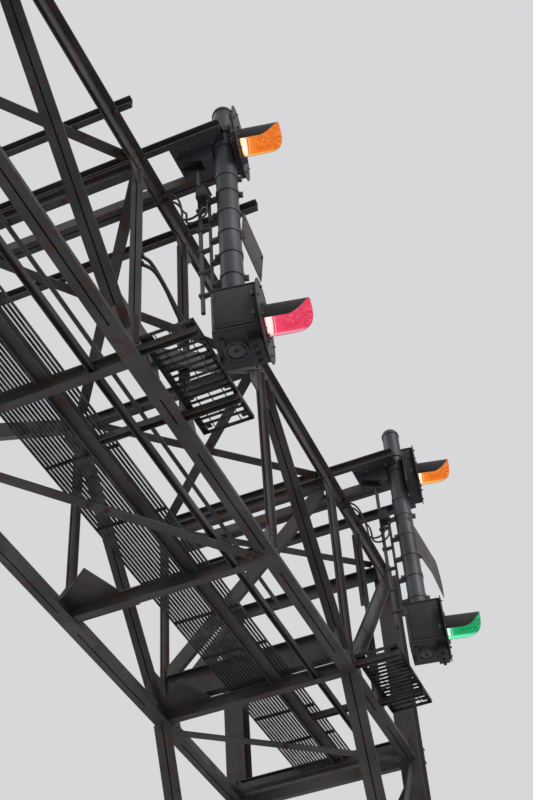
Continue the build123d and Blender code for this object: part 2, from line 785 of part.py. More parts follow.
for name, (mast_y, upper, lower, plate) in signals.items():
    nodes[f"{name}_outrigger_beams"] = outriggers(mast_y, stub=name == "near")
    nodes[f"{name}_mast_bracket"] = mast_bracket(mast_y)
    nodes[f"{name}_mast"] = [mast(mast_y, lower[0])]
    nodes[f"{name}_mast_cap"] = [mast_cap(mast_y)]
    nodes[f"{name}_mast_conduit"] = conduit(mast_y)
    nodes[f"{name}_lamp_cases"] = [upper_case(mast_y, *upper), lower_case(mast_y, *lower)]
    nodes[f"{name}_discs"] = [disc(mast_y, *head) for head in (upper, lower)]
    nodes[f"{name}_upper_lens"] = [lens(mast_y, *upper)]
    nodes[f"{name}_lower_lens"] = [lens(mast_y, *lower)]
    nodes[f"{name}_hoods"] = [hood(mast_y, *head) for head in (upper, lower)]
    nodes[f"{name}_number_plate"] = [plate]
    nodes[f"{name}_platform_grating"] = [platform(mast_y)]
    nodes[f"{name}_platform_beams"] = platform_beams(mast_y)

# The origin is at ground level, in the middle of the whole outline seen from above.
front_reach = Compound(nodes["near_hoods"]).bounding_box().max.X
back_reach = half_width + base_width / 2
to_origin = Pos((back_reach - front_reach) / 2, 0, 0)
os.makedirs("parts", exist_ok=True)
for name, solids in nodes.items():
    export_step(to_origin * Compound(solids), f"parts/{name}.step")
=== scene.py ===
"""Finishes, rivets, bolts, lit lamps, cables, light and camera for a railway signal gantry."""

import logging
from collections.abc import Callable, Sequence
from dataclasses import dataclass
from enum import Enum
from math import cos, hypot, pi, radians, sin

import bmesh
import bpy
from mathutils import Euler, Matrix, Vector


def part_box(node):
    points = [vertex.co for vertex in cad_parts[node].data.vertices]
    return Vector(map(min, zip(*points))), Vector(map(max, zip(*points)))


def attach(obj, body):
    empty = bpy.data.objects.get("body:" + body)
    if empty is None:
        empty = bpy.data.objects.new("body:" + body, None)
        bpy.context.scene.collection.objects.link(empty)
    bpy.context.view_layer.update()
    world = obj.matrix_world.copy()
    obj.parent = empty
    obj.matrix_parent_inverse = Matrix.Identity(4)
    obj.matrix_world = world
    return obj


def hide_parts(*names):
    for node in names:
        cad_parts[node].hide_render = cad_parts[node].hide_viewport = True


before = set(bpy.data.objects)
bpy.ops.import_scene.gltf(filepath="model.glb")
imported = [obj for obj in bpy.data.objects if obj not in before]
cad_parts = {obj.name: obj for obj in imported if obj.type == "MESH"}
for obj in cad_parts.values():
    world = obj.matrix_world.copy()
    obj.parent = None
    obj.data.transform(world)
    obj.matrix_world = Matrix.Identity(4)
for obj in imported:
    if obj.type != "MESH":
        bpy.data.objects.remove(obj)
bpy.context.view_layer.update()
BODY = "root"
SIDES = ("front", "back")
MASTS = ("near", "far")
# The sockets of a node that mixes colours, by number: two inputs, its factor and its output.
FACTOR, FIRST, SECOND, MIXED = 0, 6, 7, 2
report = logging.getLogger("gantry")

Place = tuple[float, float, float]
Piece = bpy.types.Object
Socket = bpy.types.NodeSocket


class Slot(Enum):
    """The record's finish slots."""

    STEEL = "structural_steel"
    GRATING = "grating_steel"
    MAST = "mast_paint"
    BLACK = "signal_black"
    PLATE = "plate_paint"
    AMBER = "amber_lens"
    RED = "red_lens"
    GREEN = "green_lens"


def middle_of(node: str) -> Place:
    """The middle of a CAD node's box."""
    return tuple((low + high) / 2 for low, high in zip(*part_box(node)))


def colour(code: str) -> tuple[float, float, float, float]:
    """Turn an sRGB hex colour to linear light.

    Args:
        code: A leading mark and six hex digits.

    Returns:
        The linear red, green and blue, and a full alpha.
    """
    channels = [int(code[i:i + 2], 16) / 255 for i in (1, 3, 5)]
    linear = [c / 12.92 if c <= 0.04045 else ((c + 0.055) / 1.055) ** 2.4 for c in channels]
    return (*linear, 1.0)


def per_mm(size_mm: float) -> float:
    """The noise scale, in repeats a metre, of a pattern whose marks are size_mm wide."""
    return 1000.0 / size_mm


def feed(tree: bpy.types.NodeTree, node: bpy.types.Node, inputs: dict) -> None:
    """Give a node's inputs their values and links.

    Args:
        tree: The node tree that it is in.
        node: The node.
        inputs: A value or an output socket for each input, by name or number.
    """
    for name, value in inputs.items():
        if isinstance(value, Socket):
            tree.links.new(value, node.inputs[name])
        else:
            node.inputs[name].default_value = value


def add_node(tree: bpy.types.NodeTree, kind: str, give: str | int, inputs: dict, stops: Sequence = (),
             **settings: object) -> Socket:
    """Add one shader node with its settings and links.

    Args:
        tree: The node tree that it goes into.
        kind: Blender's type name of the node, past its first part.
        give: The output that is wanted, by name or number.
        inputs: A value or an output socket for each input, by name or number.
        stops: A ramp's positions and their greys or linear colours, in order.
        settings: The node's own properties.

    Returns:
        The wanted output.
    """
    node = tree.nodes.new(f"ShaderNode{kind}")
    for name, value in settings.items():
        setattr(node, name, value)
    for index, (position, value) in enumerate(stops):
        element = node.color_ramp.elements[index] if index < 2 else node.color_ramp.elements.new(position)
        element.position = position
        element.color = value if isinstance(value, tuple) else (value, value, value, 1.0)
    feed(tree, node, inputs)
    return node.outputs[give]


def new_material(name: str) -> tuple[bpy.types.Material, bpy.types.NodeTree, bpy.types.Node]:
    """Start a material.

    Args:
        name: Its name.

    Returns:
        The material, its node tree and its shader.
    """
    material = bpy.data.materials.new(name)
    material.use_nodes = True
    return material, material.node_tree, material.node_tree.nodes["Principled BSDF"]


@dataclass(frozen=True)
class WeatheredPaint:
    """Old paint on rolled or pressed steel: chalked, streaked and rusting through."""

    name: str
    coat: str
    faded: str
    rust: str
    deep_rust: str
    rust_share: float = 0.36
    patch_mm: float = 170.0
    run_mm: float = 38.0
    grit_mm: float = 5.0
    roughness: float = 0.62
    metallic: float = 0.0
    relief: float = 0.35
    relief_mm: float = 1.5

    def material(self) -> bpy.types.Material:
        """Build the material.

        Returns:
            The finished material, patterned on Object coordinates.
        """
        material, tree, shader = new_material(self.name)
        place = add_node(tree, "TexCoord", "Object", {})
        chalk = add_node(tree, "TexNoise", "Fac",
                         {"Vector": place, "Scale": per_mm(2.6 * self.patch_mm), "Detail": 4.0})
        patches = add_node(tree, "TexNoise", "Fac", {"Vector": place, "Scale": per_mm(self.patch_mm),
                                                     "Detail": 9.0, "Roughness": 0.66})
        stretched = add_node(tree, "Mapping", "Vector", {"Vector": place, "Scale": (1.0, 1.0, 0.06)})
        runs = add_node(tree, "TexNoise", "Fac",
                        {"Vector": stretched, "Scale": per_mm(self.run_mm), "Detail": 3.0})
        grit = add_node(tree, "TexNoise", "Fac",
                        {"Vector": place, "Scale": per_mm(self.grit_mm), "Detail": 5.0})
        marks = add_node(tree, "TexVoronoi", "Distance",
                         {"Vector": place, "Scale": per_mm(4 * self.grit_mm)})
        chalked = add_node(tree, "ValToRGB", "Color", {"Fac": chalk}, [(0.36, 0.0), (0.66, 1.0)])
        paint = add_node(tree, "Mix", MIXED, {FACTOR: chalked, FIRST: colour(self.coat),
                                              SECOND: colour(self.faded)}, data_type="RGBA")
        washed = add_node(tree, "ValToRGB", "Color", {"Fac": runs}, [(0.50, 0.0), (0.72, 0.55)])
        paint = add_node(tree, "Mix", MIXED, {FACTOR: washed, FIRST: paint, SECOND: colour(self.rust)},
                         data_type="RGBA")
        edge = 1.0 - self.rust_share
        rusted = add_node(tree, "ValToRGB", "Color", {"Fac": patches},
                          [(edge - 0.10, 0.0), (edge + 0.03, 1.0)])
        flaked = add_node(tree, "ValToRGB", "Color", {"Fac": marks}, [(0.1, 0.0), (0.7, 1.0)])
        flakes = add_node(tree, "Mix", MIXED,
                          {FACTOR: flaked, FIRST: colour(self.deep_rust), SECOND: colour(self.rust)},
                          data_type="RGBA")
        surface = add_node(tree, "Mix", MIXED, {FACTOR: rusted, FIRST: paint, SECOND: flakes},
                           data_type="RGBA")
        dull = add_node(tree, "MapRange", "Result",
                        {"Value": rusted, "To Min": self.roughness, "To Max": 0.93})
        raised = add_node(tree, "Math", "Value", {0: rusted, 1: 0.7, 2: grit}, operation="MULTIPLY_ADD")
        bump = add_node(tree, "Bump", "Normal",
                        {"Strength": self.relief, "Distance": self.relief_mm / 1000, "Height": raised})
        feed(tree, shader, {"Base Color": surface, "Roughness": dull, "Normal": bump,
                            "Metallic": self.metallic})
        return material


@dataclass(frozen=True)
class Galvanised:
    """Hot dipped galvanised steel gone dull: a zinc spangle under grey dirt."""

    name: str
    bright: str
    dull: str
    dirt: str
    spangle_mm: float = 14.0
    dirt_mm: float = 90.0
    metallic: float = 0.55

    def material(self) -> bpy.types.Material:
        """Build the material.

        Returns:
            The finished material, patterned on Object coordinates.
        """
        material, tree, shader = new_material(self.name)
        place = add_node(tree, "TexCoord", "Object", {})
        cells = add_node(tree, "TexVoronoi", "Color", {"Vector": place, "Scale": per_mm(self.spangle_mm)})
        tone = add_node(tree, "ValToRGB", "Color", {"Fac": cells},
                        [(0.2, colour(self.dull)), (0.8, colour(self.bright))])
        grime = add_node(tree, "TexNoise", "Fac",
                         {"Vector": place, "Scale": per_mm(self.dirt_mm), "Detail": 7.0})
        dirty = add_node(tree, "ValToRGB", "Color", {"Fac": grime}, [(0.40, 0.0), (0.62, 0.9)])
        surface = add_node(tree, "Mix", MIXED, {FACTOR: dirty, FIRST: tone, SECOND: colour(self.dirt)},
                           data_type="RGBA")
        rough = add_node(tree, "MapRange", "Result", {"Value": dirty, "To Min": 0.48, "To Max": 0.85})
        feed(tree, shader, {"Base Color": surface, "Roughness": rough, "Metallic": self.metallic})
        return material


@dataclass(frozen=True)
class Rubber:
    """Black rubber cable sheath: matt, with a dusty bloom."""

    name: str
    sheath: str = "#15161A"
    bloom: str = "#2C2B2D"
    bloom_mm: float = 30.0

    def material(self) -> bpy.types.Material:
        """Build the material.

        Returns:
            The finished material, patterned on Object coordinates.
        """
        material, tree, shader = new_material(self.name)
        place = add_node(tree, "TexCoord", "Object", {})
        dust = add_node(tree, "TexNoise", "Fac",
                        {"Vector": place, "Scale": per_mm(self.bloom_mm), "Detail": 6.0})
        tone = add_node(tree, "ValToRGB", "Color", {"Fac": dust},
                        [(0.4, colour(self.sheath)), (0.7, colour(self.bloom))])
        bump = add_node(tree, "Bump", "Normal", {"Strength": 0.2, "Distance": 0.0004, "Height": dust})
        feed(tree, shader, {"Base Color": tone, "Normal": bump, "Roughness": 0.58})
        return material


@dataclass(frozen=True)
class LampColour:
    """The colours of one burning lamp, from its glass to the far end of its hood; on the hood they are
    painted lamp light, painted shade and a painted highlight.
    """

    name: str
    slot: Slot
    core: str
    glow: str
    body: str
    shade: str
    line: str


# Each lamp's colours; those used on the hood are painted lamp light, painted shade and a painted highlight.
AMBER = LampColour("amber", Slot.AMBER, "#FFFBEA", "#FFC43A", "#FF8A2A", "#CC4A0A", "#FFC266")
RED = LampColour("red", Slot.RED, "#FFF6EE", "#FF9AA8", "#F9486A", "#CF2850", "#FFA3B2")
GREEN = LampColour("green", Slot.GREEN, "#F4FFF8", "#52F5AE", "#08B46C", "#006B42", "#7DFFC6")


@dataclass(frozen=True)
class HeadPlace:
    """The place of one signal head: the middle of its disc's front face, turned about the mast."""

    origin: Place
    turn: float = radians(10.0)
    droop: float = radians(3.0)
    bore: float = 0.1065
    hood_length: float = 0.317

    @classmethod
    def on_mast(cls, mast: str, level: str, offset: float) -> "HeadPlace":
        """A head's place, from its mast's axis and its lens's height.

        Args:
            mast: Which mast.
            level: Upper or lower.
            offset: From the mast's axis to the disc.

        Returns:
            The place.
        """
        x, y, _ = middle_of(f"{mast}_mast")
        height = middle_of(f"{mast}_{level}_lens")[2]
        return cls((x + offset * cos(cls.turn), y + offset * sin(cls.turn), height))

    def matrix(self) -> Matrix:
        """From the head's own frame, x forward, to the gantry's."""
        return Matrix.Translation(self.origin) @ Matrix.Rotation(self.turn, 4, "Z")

    def hood_matrix(self) -> Matrix:
        """From the hood's own frame, x along its drooping axis, to the gantry's."""
        return self.matrix() @ Matrix.Rotation(self.droop, 4, "Y")

    def coordinates(self, tree: bpy.types.NodeTree, droop: float) -> Socket:
        """Object coordinates carried into the head's own frame, x forward from the disc.

        Args:
            tree: The node tree.
            droop: How far the frame's x axis droops, in radians.

        Returns:
            The vector output, in metres.
        """
        source = add_node(tree, "TexCoord", "Object", {})
        turn = Euler((0.0, droop, self.turn))
        return add_node(tree, "Mapping", "Vector",
                        {"Vector": source, "Location": self.origin, "Rotation": turn}, vector_type="TEXTURE")


@dataclass(frozen=True)
class LitGlass:
    """Pressed lens glass with a lamp burning behind it: white hot in the middle, ribbed in rings."""

    lamp: LampColour
    place: HeadPlace
    rib_mm: float = 12.0

    def material(self) -> bpy.types.Material:
        """Build the material.

        Returns:
            The finished material, centred on the lens by a Mapping node.
        """
        material, tree, shader = new_material(f"pressed_glass_{self.lamp.name}")
        own = self.place.coordinates(tree, 0.0)
        axes = add_node(tree, "SeparateXYZ", 0, {"Vector": own}).node.outputs
        flat = add_node(tree, "CombineXYZ", "Vector", {"Y": axes["Y"], "Z": axes["Z"]})
        out = add_node(tree, "VectorMath", "Value", {0: flat}, operation="LENGTH")
        share = add_node(tree, "Math", "Value", {0: out, 1: self.place.bore}, operation="DIVIDE")
        core, glow, body = [colour(code) for code in (self.lamp.core, self.lamp.glow, self.lamp.body)]
        tone = add_node(tree, "ValToRGB", "Color", {"Fac": share},
                        [(0.0, core), (0.62, core), (0.80, glow), (1.0, body)])
        rings = add_node(tree, "Math", "Value", {0: out, 1: 2 * pi * per_mm(self.rib_mm)},
                         operation="MULTIPLY")
        wave = add_node(tree, "Math", "Value", {0: rings}, operation="SINE")
        bump = add_node(tree, "Bump", "Normal", {"Strength": 0.5, "Distance": 0.002, "Height": wave})
        feed(tree, shader, {"Emission Color": tone, "Emission Strength": 1.0, "Normal": bump,
                            "Base Color": colour(self.lamp.shade), "Roughness": 0.12})
        return material


@dataclass(frozen=True)
class PaintedHoodLight:
    """Painted lamp light on the inside of a hood: an emissive lining that stands in for its lamp's light,
    hot at the root, with painted shade and painted highlights, mottled towards the mouth.
    """

    lamp: LampColour
    place: HeadPlace
    # Where the painted lamp light changes along the hood: the white-hot root, the band of painted shade and
    # the band of painted highlight.
    hot_mm: float = 34.0
    shade_band_mm: float = 41.0
    line_mm: float = 48.0
    mottle_mm: float = 13.0
    unlit: str = "#1A0D08"
    glare: float = 0.92

    def material(self) -> bpy.types.Material:
        """Build the material.

        Returns:
            The finished material, measured along the hood's own axis.
        """
        material, tree, shader = new_material(f"enamel_with_painted_lamp_light_{self.lamp.name}")
        lamp, length_mm = self.lamp, 1000 * self.place.hood_length
        core, glow, body = [colour(code) for code in (lamp.core, lamp.glow, lamp.body)]
        shade, bright = colour(lamp.shade), colour(lamp.line)
        own = self.place.coordinates(tree, self.place.droop)
        axes = add_node(tree, "SeparateXYZ", 0, {"Vector": own}).node.outputs
        along = add_node(tree, "Math", "Value", {0: axes["X"], 1: self.place.hood_length},
                         operation="DIVIDE")
        # Painted lamp light along the hood: a painted white-hot pool at the root, a band of painted shade, a
        # band of painted highlight, then the lit body.
        hot, shade_band, line = [mm / length_mm for mm in (self.hot_mm, self.shade_band_mm, self.line_mm)]
        tone = add_node(tree, "ValToRGB", "Color", {"Fac": along}, [
            (0.0, core), (hot - 0.02, core), (hot, glow), (hot + 0.008, shade), (shade_band, shade),
            (shade_band + 0.008, bright), (line, bright), (line + 0.012, body), (0.55, body), (1.0, body)])
        # Mottles over the painted lamp light: spots of painted shade and painted glints.
        blotch = add_node(tree, "TexNoise", "Fac", {"Vector": own, "Scale": per_mm(self.mottle_mm),
                                                    "Detail": 6.0, "Roughness": 0.7})
        past = add_node(tree, "ValToRGB", "Color", {"Fac": along}, [(line, 0.0), (line + 0.25, 0.85)])
        for spot, stops in ((shade, [(0.42, 0.0), (0.58, 0.9)]), (bright, [(0.36, 0.7), (0.43, 0.0)])):
            marks = add_node(tree, "ValToRGB", "Color", {"Fac": blotch}, stops)
            marks = add_node(tree, "Mix", MIXED, {FACTOR: past, FIRST: (0.0, 0.0, 0.0, 1.0), SECOND: marks},
                             data_type="RGBA")
            tone = add_node(tree, "Mix", MIXED, {FACTOR: marks, FIRST: tone, SECOND: spot},
                            data_type="RGBA")
        # A painted highlight that wavers along the hood's lower free edges.
        height = add_node(tree, "Math", "Value", {0: axes["Z"], 1: -self.place.bore}, operation="DIVIDE")
        wavering = add_node(tree, "Math", "Value", {0: blotch, 1: 0.5, 2: height}, operation="MULTIPLY_ADD")
        foot = add_node(tree, "ValToRGB", "Color", {"Fac": wavering},
                        [(0.30, 0.0), (0.44, 0.45), (0.56, 0.95)])
        tone = add_node(tree, "Mix", MIXED, {FACTOR: foot, FIRST: tone, SECOND: bright}, data_type="RGBA")
        bump = add_node(tree, "Bump", "Normal", {"Strength": 0.4, "Distance": 0.001, "Height": blotch})
        # The lining's glow is painted lamp light; the hood is no lamp of its own.
        feed(tree, shader, {"Emission Color": tone, "Emission Strength": self.glare, "Normal": bump,
                            "Base Color": colour(self.unlit), "Roughness": 0.5})
        return material


# Structural steel: carbon steel painted near black, chalked, with rust coming through in patches.
STEEL = WeatheredPaint("weathered_structural_steel", "#282A2D", "#434445", "#59362A", "#301C15")
# Rivets and bolts: the same paint, worn to rust on the crowns.
RIVET = WeatheredPaint("painted_rivet_steel", "#2B2C2E", "#42403E", "#5A3524", "#34201A", 0.5, 60.0, 20.0)
# Mast tube: aluminium paint gone dark, faintly metallic.
MAST = WeatheredPaint("aluminium_painted_pipe", "#33363B", "#4A4D52", "#4B3328", "#2D1D17", 0.30, 210.0,
                      26.0, roughness=0.5, metallic=0.25)
# Signal black: matt black enamel on pressed sheet, greyed by weather.
BLACK = WeatheredPaint("matt_black_enamel", "#121316", "#232326", "#3A2219", "#221510", 0.27, 150.0, 22.0,
                       roughness=0.55)
# Number plates: grey enamel on sheet steel, bare of any number.
PLATE = WeatheredPaint("grey_enamel_plate", "#3A3736", "#4E4946", "#4F3426", "#32201A", 0.34, 120.0, 30.0)
# Grating: galvanised bar grating dulled by brake dust.
GRATING = Galvanised("galvanised_grating", "#404245", "#34363A", "#2A2928")
# Bolts and fittings on the signals: galvanised, brighter than the steel round them.
ZINC = Galvanised("galvanised_fasteners", "#7A7D80", "#54575A", "#35312E", 6.0, 40.0, 0.7)
# Cable sheath: black rubber, matt under a dusty bloom.
SHEATH = Rubber("rubber_cable_sheath")
# A rivet's button head: its radius and its height.
RIVET_HEAD = (0.016, 0.010)
# Edges under this angle are shaded smooth.
SMOOTH = radians(35.0)
# Each signal head: its mast, level and lamp, how far its disc is from the mast's axis, and its case's depth.
HEADS = (("near", "upper", AMBER, 0.130, 0.045), ("near", "lower", RED, 0.205, 0.330),
         ("far", "upper", AMBER, 0.205, 0.120), ("far", "lower", GREEN, 0.205, 0.330))


def link(name: str, data: bpy.types.ID) -> Piece:
    """Put new data into the scene.

    Args:
        name: The new object's name.
        data: Its mesh, curve, lamp or camera.

    Returns:
        The object, at the origin.
    """
    piece = bpy.data.objects.new(name, data)
    bpy.context.scene.collection.objects.link(piece)
    return piece


def shift(x: float, y: float, z: float) -> Matrix:
    """A move without a turn."""
    return Matrix.Translation((x, y, z))


def facing(point: Place, normal: Place, spin: float = 0.0) -> Matrix:
    """The place of a model that stands on z = 0, set on a point and facing along a normal.

    Args:
        point: Where its foot goes.
        normal: The direction that its top faces.
        spin: How far it is turned about that direction, in radians.

    Returns:
        The place.
    """
    turn = Vector(normal).to_track_quat("Z", "Y").to_matrix().to_4x4()
    return Matrix.Translation(point) @ turn @ Matrix.Rotation(spin, 4, "Z")


def both_faces(plane: float, out: float, y: float, z: float) -> list[Matrix]:
    """The two places on a lattice side's faces, each looking away from its plane."""
    return [facing((plane + sign * out, y, z), (sign, 0, 0)) for sign in (1, -1)]


class Workshop:
    """Where pieces are modelled: primitives shaped in edit mode, then set in place."""

    def __init__(self) -> None:
        """Start with no finishes made."""
        self.finishes: dict[str, bpy.types.Material] = {}

    def finish(self, surface: object) -> bpy.types.Material:
        """The material of a surface, made once.

        Args:
            surface: One of the finishes.

        Returns:
            Its material.
        """
        key = repr(surface)
        if key not in self.finishes:
            self.finishes[key] = surface.material()
        return self.finishes[key]

    @staticmethod
    def clear() -> None:
        """Leave nothing selected, in object mode."""
        active = bpy.context.view_layer.objects.active
        if active is not None and active.mode != "OBJECT":
            bpy.ops.object.mode_set(mode="OBJECT")
        bpy.ops.object.select_all(action="DESELECT")

    def pick(self, *pieces: Piece) -> None:
        """Select just these pieces, and make the first of them active.

        Args:
            pieces: The pieces.
        """
        self.clear()
        for piece in pieces:
            piece.select_set(True)
        bpy.context.view_layer.objects.active = pieces[0]

    @staticmethod
    def settle() -> Piece:
        """Work the active piece's place, turn and scale into its mesh."""
        bpy.ops.object.transform_apply(location=True, rotation=True, scale=True)
        return bpy.context.object

    @staticmethod
    def pick_vertices(piece: Piece, test: Callable[[Vector], bool]) -> None:
        """Enter edit mode with just the vertices that pass a test selected.

        Args:
            piece: The active object.
            test: Takes a vertex's place and says whether it is picked.
        """
        bpy.ops.object.mode_set(mode="EDIT")
        bpy.ops.mesh.select_mode(type="VERT")
        bpy.ops.mesh.select_all(action="DESELECT")
        shape = bmesh.from_edit_mesh(piece.data)
        for vertex in shape.verts:
            vertex.select = bool(test(vertex.co))
        shape.select_flush_mode()
        bmesh.update_edit_mesh(piece.data)

    def block(self, size: Place, centre: Place) -> Piece:
        """A block with sharp edges.

        Args:
            size: Its length along each axis.
            centre: Its middle.

        Returns:
            The block.
        """
        self.clear()
        bpy.ops.mesh.primitive_cube_add(size=1.0, location=centre)
        bpy.context.object.scale = size
        return self.settle()

    def slab(self, size: Place, centre: Place, ease: float = 0.002) -> Piece:
        """A block with its edges eased.

        Args:
            size: Its length along each axis.
            centre: Its middle.
            ease: How much each edge is bevelled.

        Returns:
            The block.
        """
        piece = self.block(size, centre)
        bpy.ops.object.mode_set(mode="EDIT")
        bpy.ops.mesh.bevel(offset=ease, segments=2, affect="EDGES")
        bpy.ops.object.mode_set(mode="OBJECT")
        return piece

    def wedge(self, size: Place, centre: Place, slide: float) -> Piece:
        """A block whose low x end is drawn up over a share of its height.

        Args:
            size: Its length along each axis.
            centre: Its middle.
            slide: The share of its height that its low x end loses.

        Returns:
            The wedge.
        """
        piece = self.block(size, centre)
        self.pick_vertices(piece, lambda v: v.x < centre[0] and v.z < centre[2])
        bpy.ops.transform.translate(value=(0.0, 0.0, slide * size[2]))
        bpy.ops.mesh.select_all(action="SELECT")
        bpy.ops.mesh.bevel(offset=0.0015, segments=1, affect="EDGES")
        bpy.ops.object.mode_set(mode="OBJECT")
        return piece

    def stub(self, radius: float, depth: float, sides: int, foot: float = 0.0, ease: float = 0.0) -> Piece:
        """A round or hexagonal stub that stands on z = foot.

        Args:
            radius: From its axis to its corners.
            depth: Its height.
            sides: How many sides it has.
            foot: The level that it stands on.
            ease: How much its top rim is bevelled.

        Returns:
            The stub.
        """
        self.clear()
        bpy.ops.mesh.primitive_cylinder_add(vertices=sides, radius=radius, depth=depth,
                                            location=(0.0, 0.0, foot + depth / 2))
        piece = self.settle()
        self.pick_vertices(piece, lambda v: v.z > foot + 0.75 * depth)
        bpy.ops.mesh.bevel(offset=ease or radius / 8, segments=1, affect="EDGES")
        bpy.ops.object.mode_set(mode="OBJECT")
        return piece

    def stack(self, *stubs: tuple[float, ...]) -> Piece:
        """Stubs about one axis, joined, each from its radius, depth, sides, foot and ease."""
        return self.join([self.stub(*sizes) for sizes in stubs])

    def button(self, radius: float, height: float) -> Piece:
        """A rivet's button head, flat side on z = 0.

        Args:
            radius: Of the head.
            height: Of its crown.

        Returns:
            The head.
        """
        self.clear()
        bpy.ops.mesh.primitive_uv_sphere_add(segments=8, ring_count=6, radius=radius)
        bpy.ops.object.mode_set(mode="EDIT")
        bpy.ops.mesh.select_all(action="SELECT")
        bpy.ops.mesh.bisect(plane_co=(0, 0, radius / 9), plane_no=(0, 0, 1), use_fill=True,
                            clear_inner=True)
        bpy.ops.mesh.select_all(action="SELECT")
        bpy.ops.transform.translate(value=(0.0, 0.0, -radius / 9))
        bpy.ops.object.mode_set(mode="OBJECT")
        bpy.context.object.scale = (1.0, 1.0, height / radius)
        return self.settle()

    def ring(self, major: float, minor: float, x: float, segments: int = 48) -> Piece:
        """A round bead about the x axis.

        Args:
            major: From the axis to the bead's middle.
            minor: The bead's own radius.
            x: How far along the axis it is.
            segments: How many pieces it has round the axis.

        Returns:
            The bead.
        """
        self.clear()
        bpy.ops.mesh.primitive_torus_add(major_radius=major, minor_radius=minor, major_segments=segments,
                                         minor_segments=8, rotation=(0.0, pi / 2, 0.0))
        piece = self.settle()
        piece.data.transform(shift(x, 0, 0))
        return piece

    @staticmethod
    def thicken(piece: Piece, thickness: float) -> Piece:
        """Give an open sheet its wall, outwards.

        Args:
            piece: The sheet, which is active.
            thickness: Of its wall.

        Returns:
            The piece.
        """
        wall = piece.modifiers.new("wall", "SOLIDIFY")
        wall.thickness, wall.offset = thickness, 1.0
        bpy.ops.object.modifier_apply(modifier="wall")
        return piece

    def band(self, radius: float, thickness: float, height: float) -> Piece:
        """A strap round the z axis, its middle at z = 0.

        Args:
            radius: Its inside radius.
            thickness: Of the strap.
            height: Its width along the axis.

        Returns:
            The strap.
        """
        self.clear()
        bpy.ops.mesh.primitive_cylinder_add(vertices=40, radius=radius, depth=height,
                                            end_fill_type="NOTHING")
        return self.thicken(bpy.context.object, thickness)

    @staticmethod
    def route(name: str, points: Sequence[Place], steps: int) -> Piece:
        """A bare curve along points, held at both ends.

        Args:
            name: Its name.
            points: Its control points.
            steps: How finely each stretch is drawn.

        Returns:
            The curve, with no thickness yet.
        """
        data = bpy.data.curves.new(name, "CURVE")
        data.dimensions = "3D"
        data.use_fill_caps = True
        spline = data.splines.new("NURBS")
        spline.points.add(len(points) - 1)
        for point, place in zip(spline.points, points):
            point.co = (*place, 1.0)
        spline.order_u, spline.use_endpoint_u, spline.resolution_u = 3, True, steps
        return link(name, data)

    def pipe(self, points: Sequence[Place], radius: float) -> Piece:
        """A bent rod or pipe along points, with eased corners.

        Args:
            points: Its route.
            radius: Of its section.

        Returns:
            The pipe, as a mesh.
        """
        piece = self.route("pipe", points, 6)
        piece.data.bevel_depth, piece.data.bevel_resolution = radius, 2
        self.pick(piece)
        bpy.ops.object.convert(target="MESH")
        return bpy.context.object

    def join(self, pieces: Sequence[Piece]) -> Piece:
        """Join pieces into one.

        Args:
            pieces: The pieces, which the first of them takes up.

        Returns:
            The joined piece.
        """
        self.pick(*pieces)
        bpy.ops.object.join()
        return bpy.context.object

    @staticmethod
    def repeat(model: Piece, places: Sequence[Matrix]) -> Piece:
        """One joined mesh with a copy of a model at each place; the model itself is removed.

        Args:
            model: What is repeated, at the origin.
            places: Where each copy goes.

        Returns:
            The joined copies.
        """
        shape = bmesh.new()
        for place in places:
            first = len(shape.verts)
            shape.from_mesh(model.data)
            shape.verts.ensure_lookup_table()
            bmesh.ops.transform(shape, matrix=place, verts=shape.verts[first:])
        data = bpy.data.meshes.new("copies")
        shape.to_mesh(data)
        shape.free()
        bpy.data.objects.remove(model)
        return link("copies", data)

    def hand_in(self, parts: Piece | list[Piece], name: str, slot: Slot, surface: object,
                place: Matrix | None = None) -> Piece:
        """Name, place, smooth and dress a finished piece, and fix it to the gantry.

        Args:
            parts: The piece, or a list of parts to join.
            name: What it is.
            slot: The record's slot for its finish; not used.
            surface: Its finish.
            place: Where its own frame goes, or None where it is already in place.

        Returns:
            The piece.
        """
        piece = self.join(parts) if isinstance(parts, list) else parts
        if place is not None:
            piece.data.transform(place)
        piece.name = name
        piece.data.name = name
        self.pick(piece)
        bpy.ops.object.shade_smooth_by_angle(angle=SMOOTH)
        piece.data.materials.clear()
        piece.data.materials.append(self.finish(surface))
        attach(piece, BODY)
        report.info("%s: %d faces", name, len(piece.data.polygons))
        return piece


@dataclass
class Member:
    """One riveted bar of a truss side, in the plane of that side."""

    start: Sequence[float]
    end: Sequence[float]
    face: float
    rows: tuple[float, ...]
    distances: list[float]

    def rivets(self) -> list[tuple[float, float]]:
        """Rivet places at distances from both ends.

        Returns:
            The (y, z) places, in every row.
        """
        start, along = Vector(self.start), Vector(self.end) - Vector(self.start)
        shares = self.distances + [along.length - d for d in self.distances]
        along.normalize()
        across = Vector((-along.y, along.x))
        return [tuple(start + along * d + across * row) for d in shares for row in self.rows]


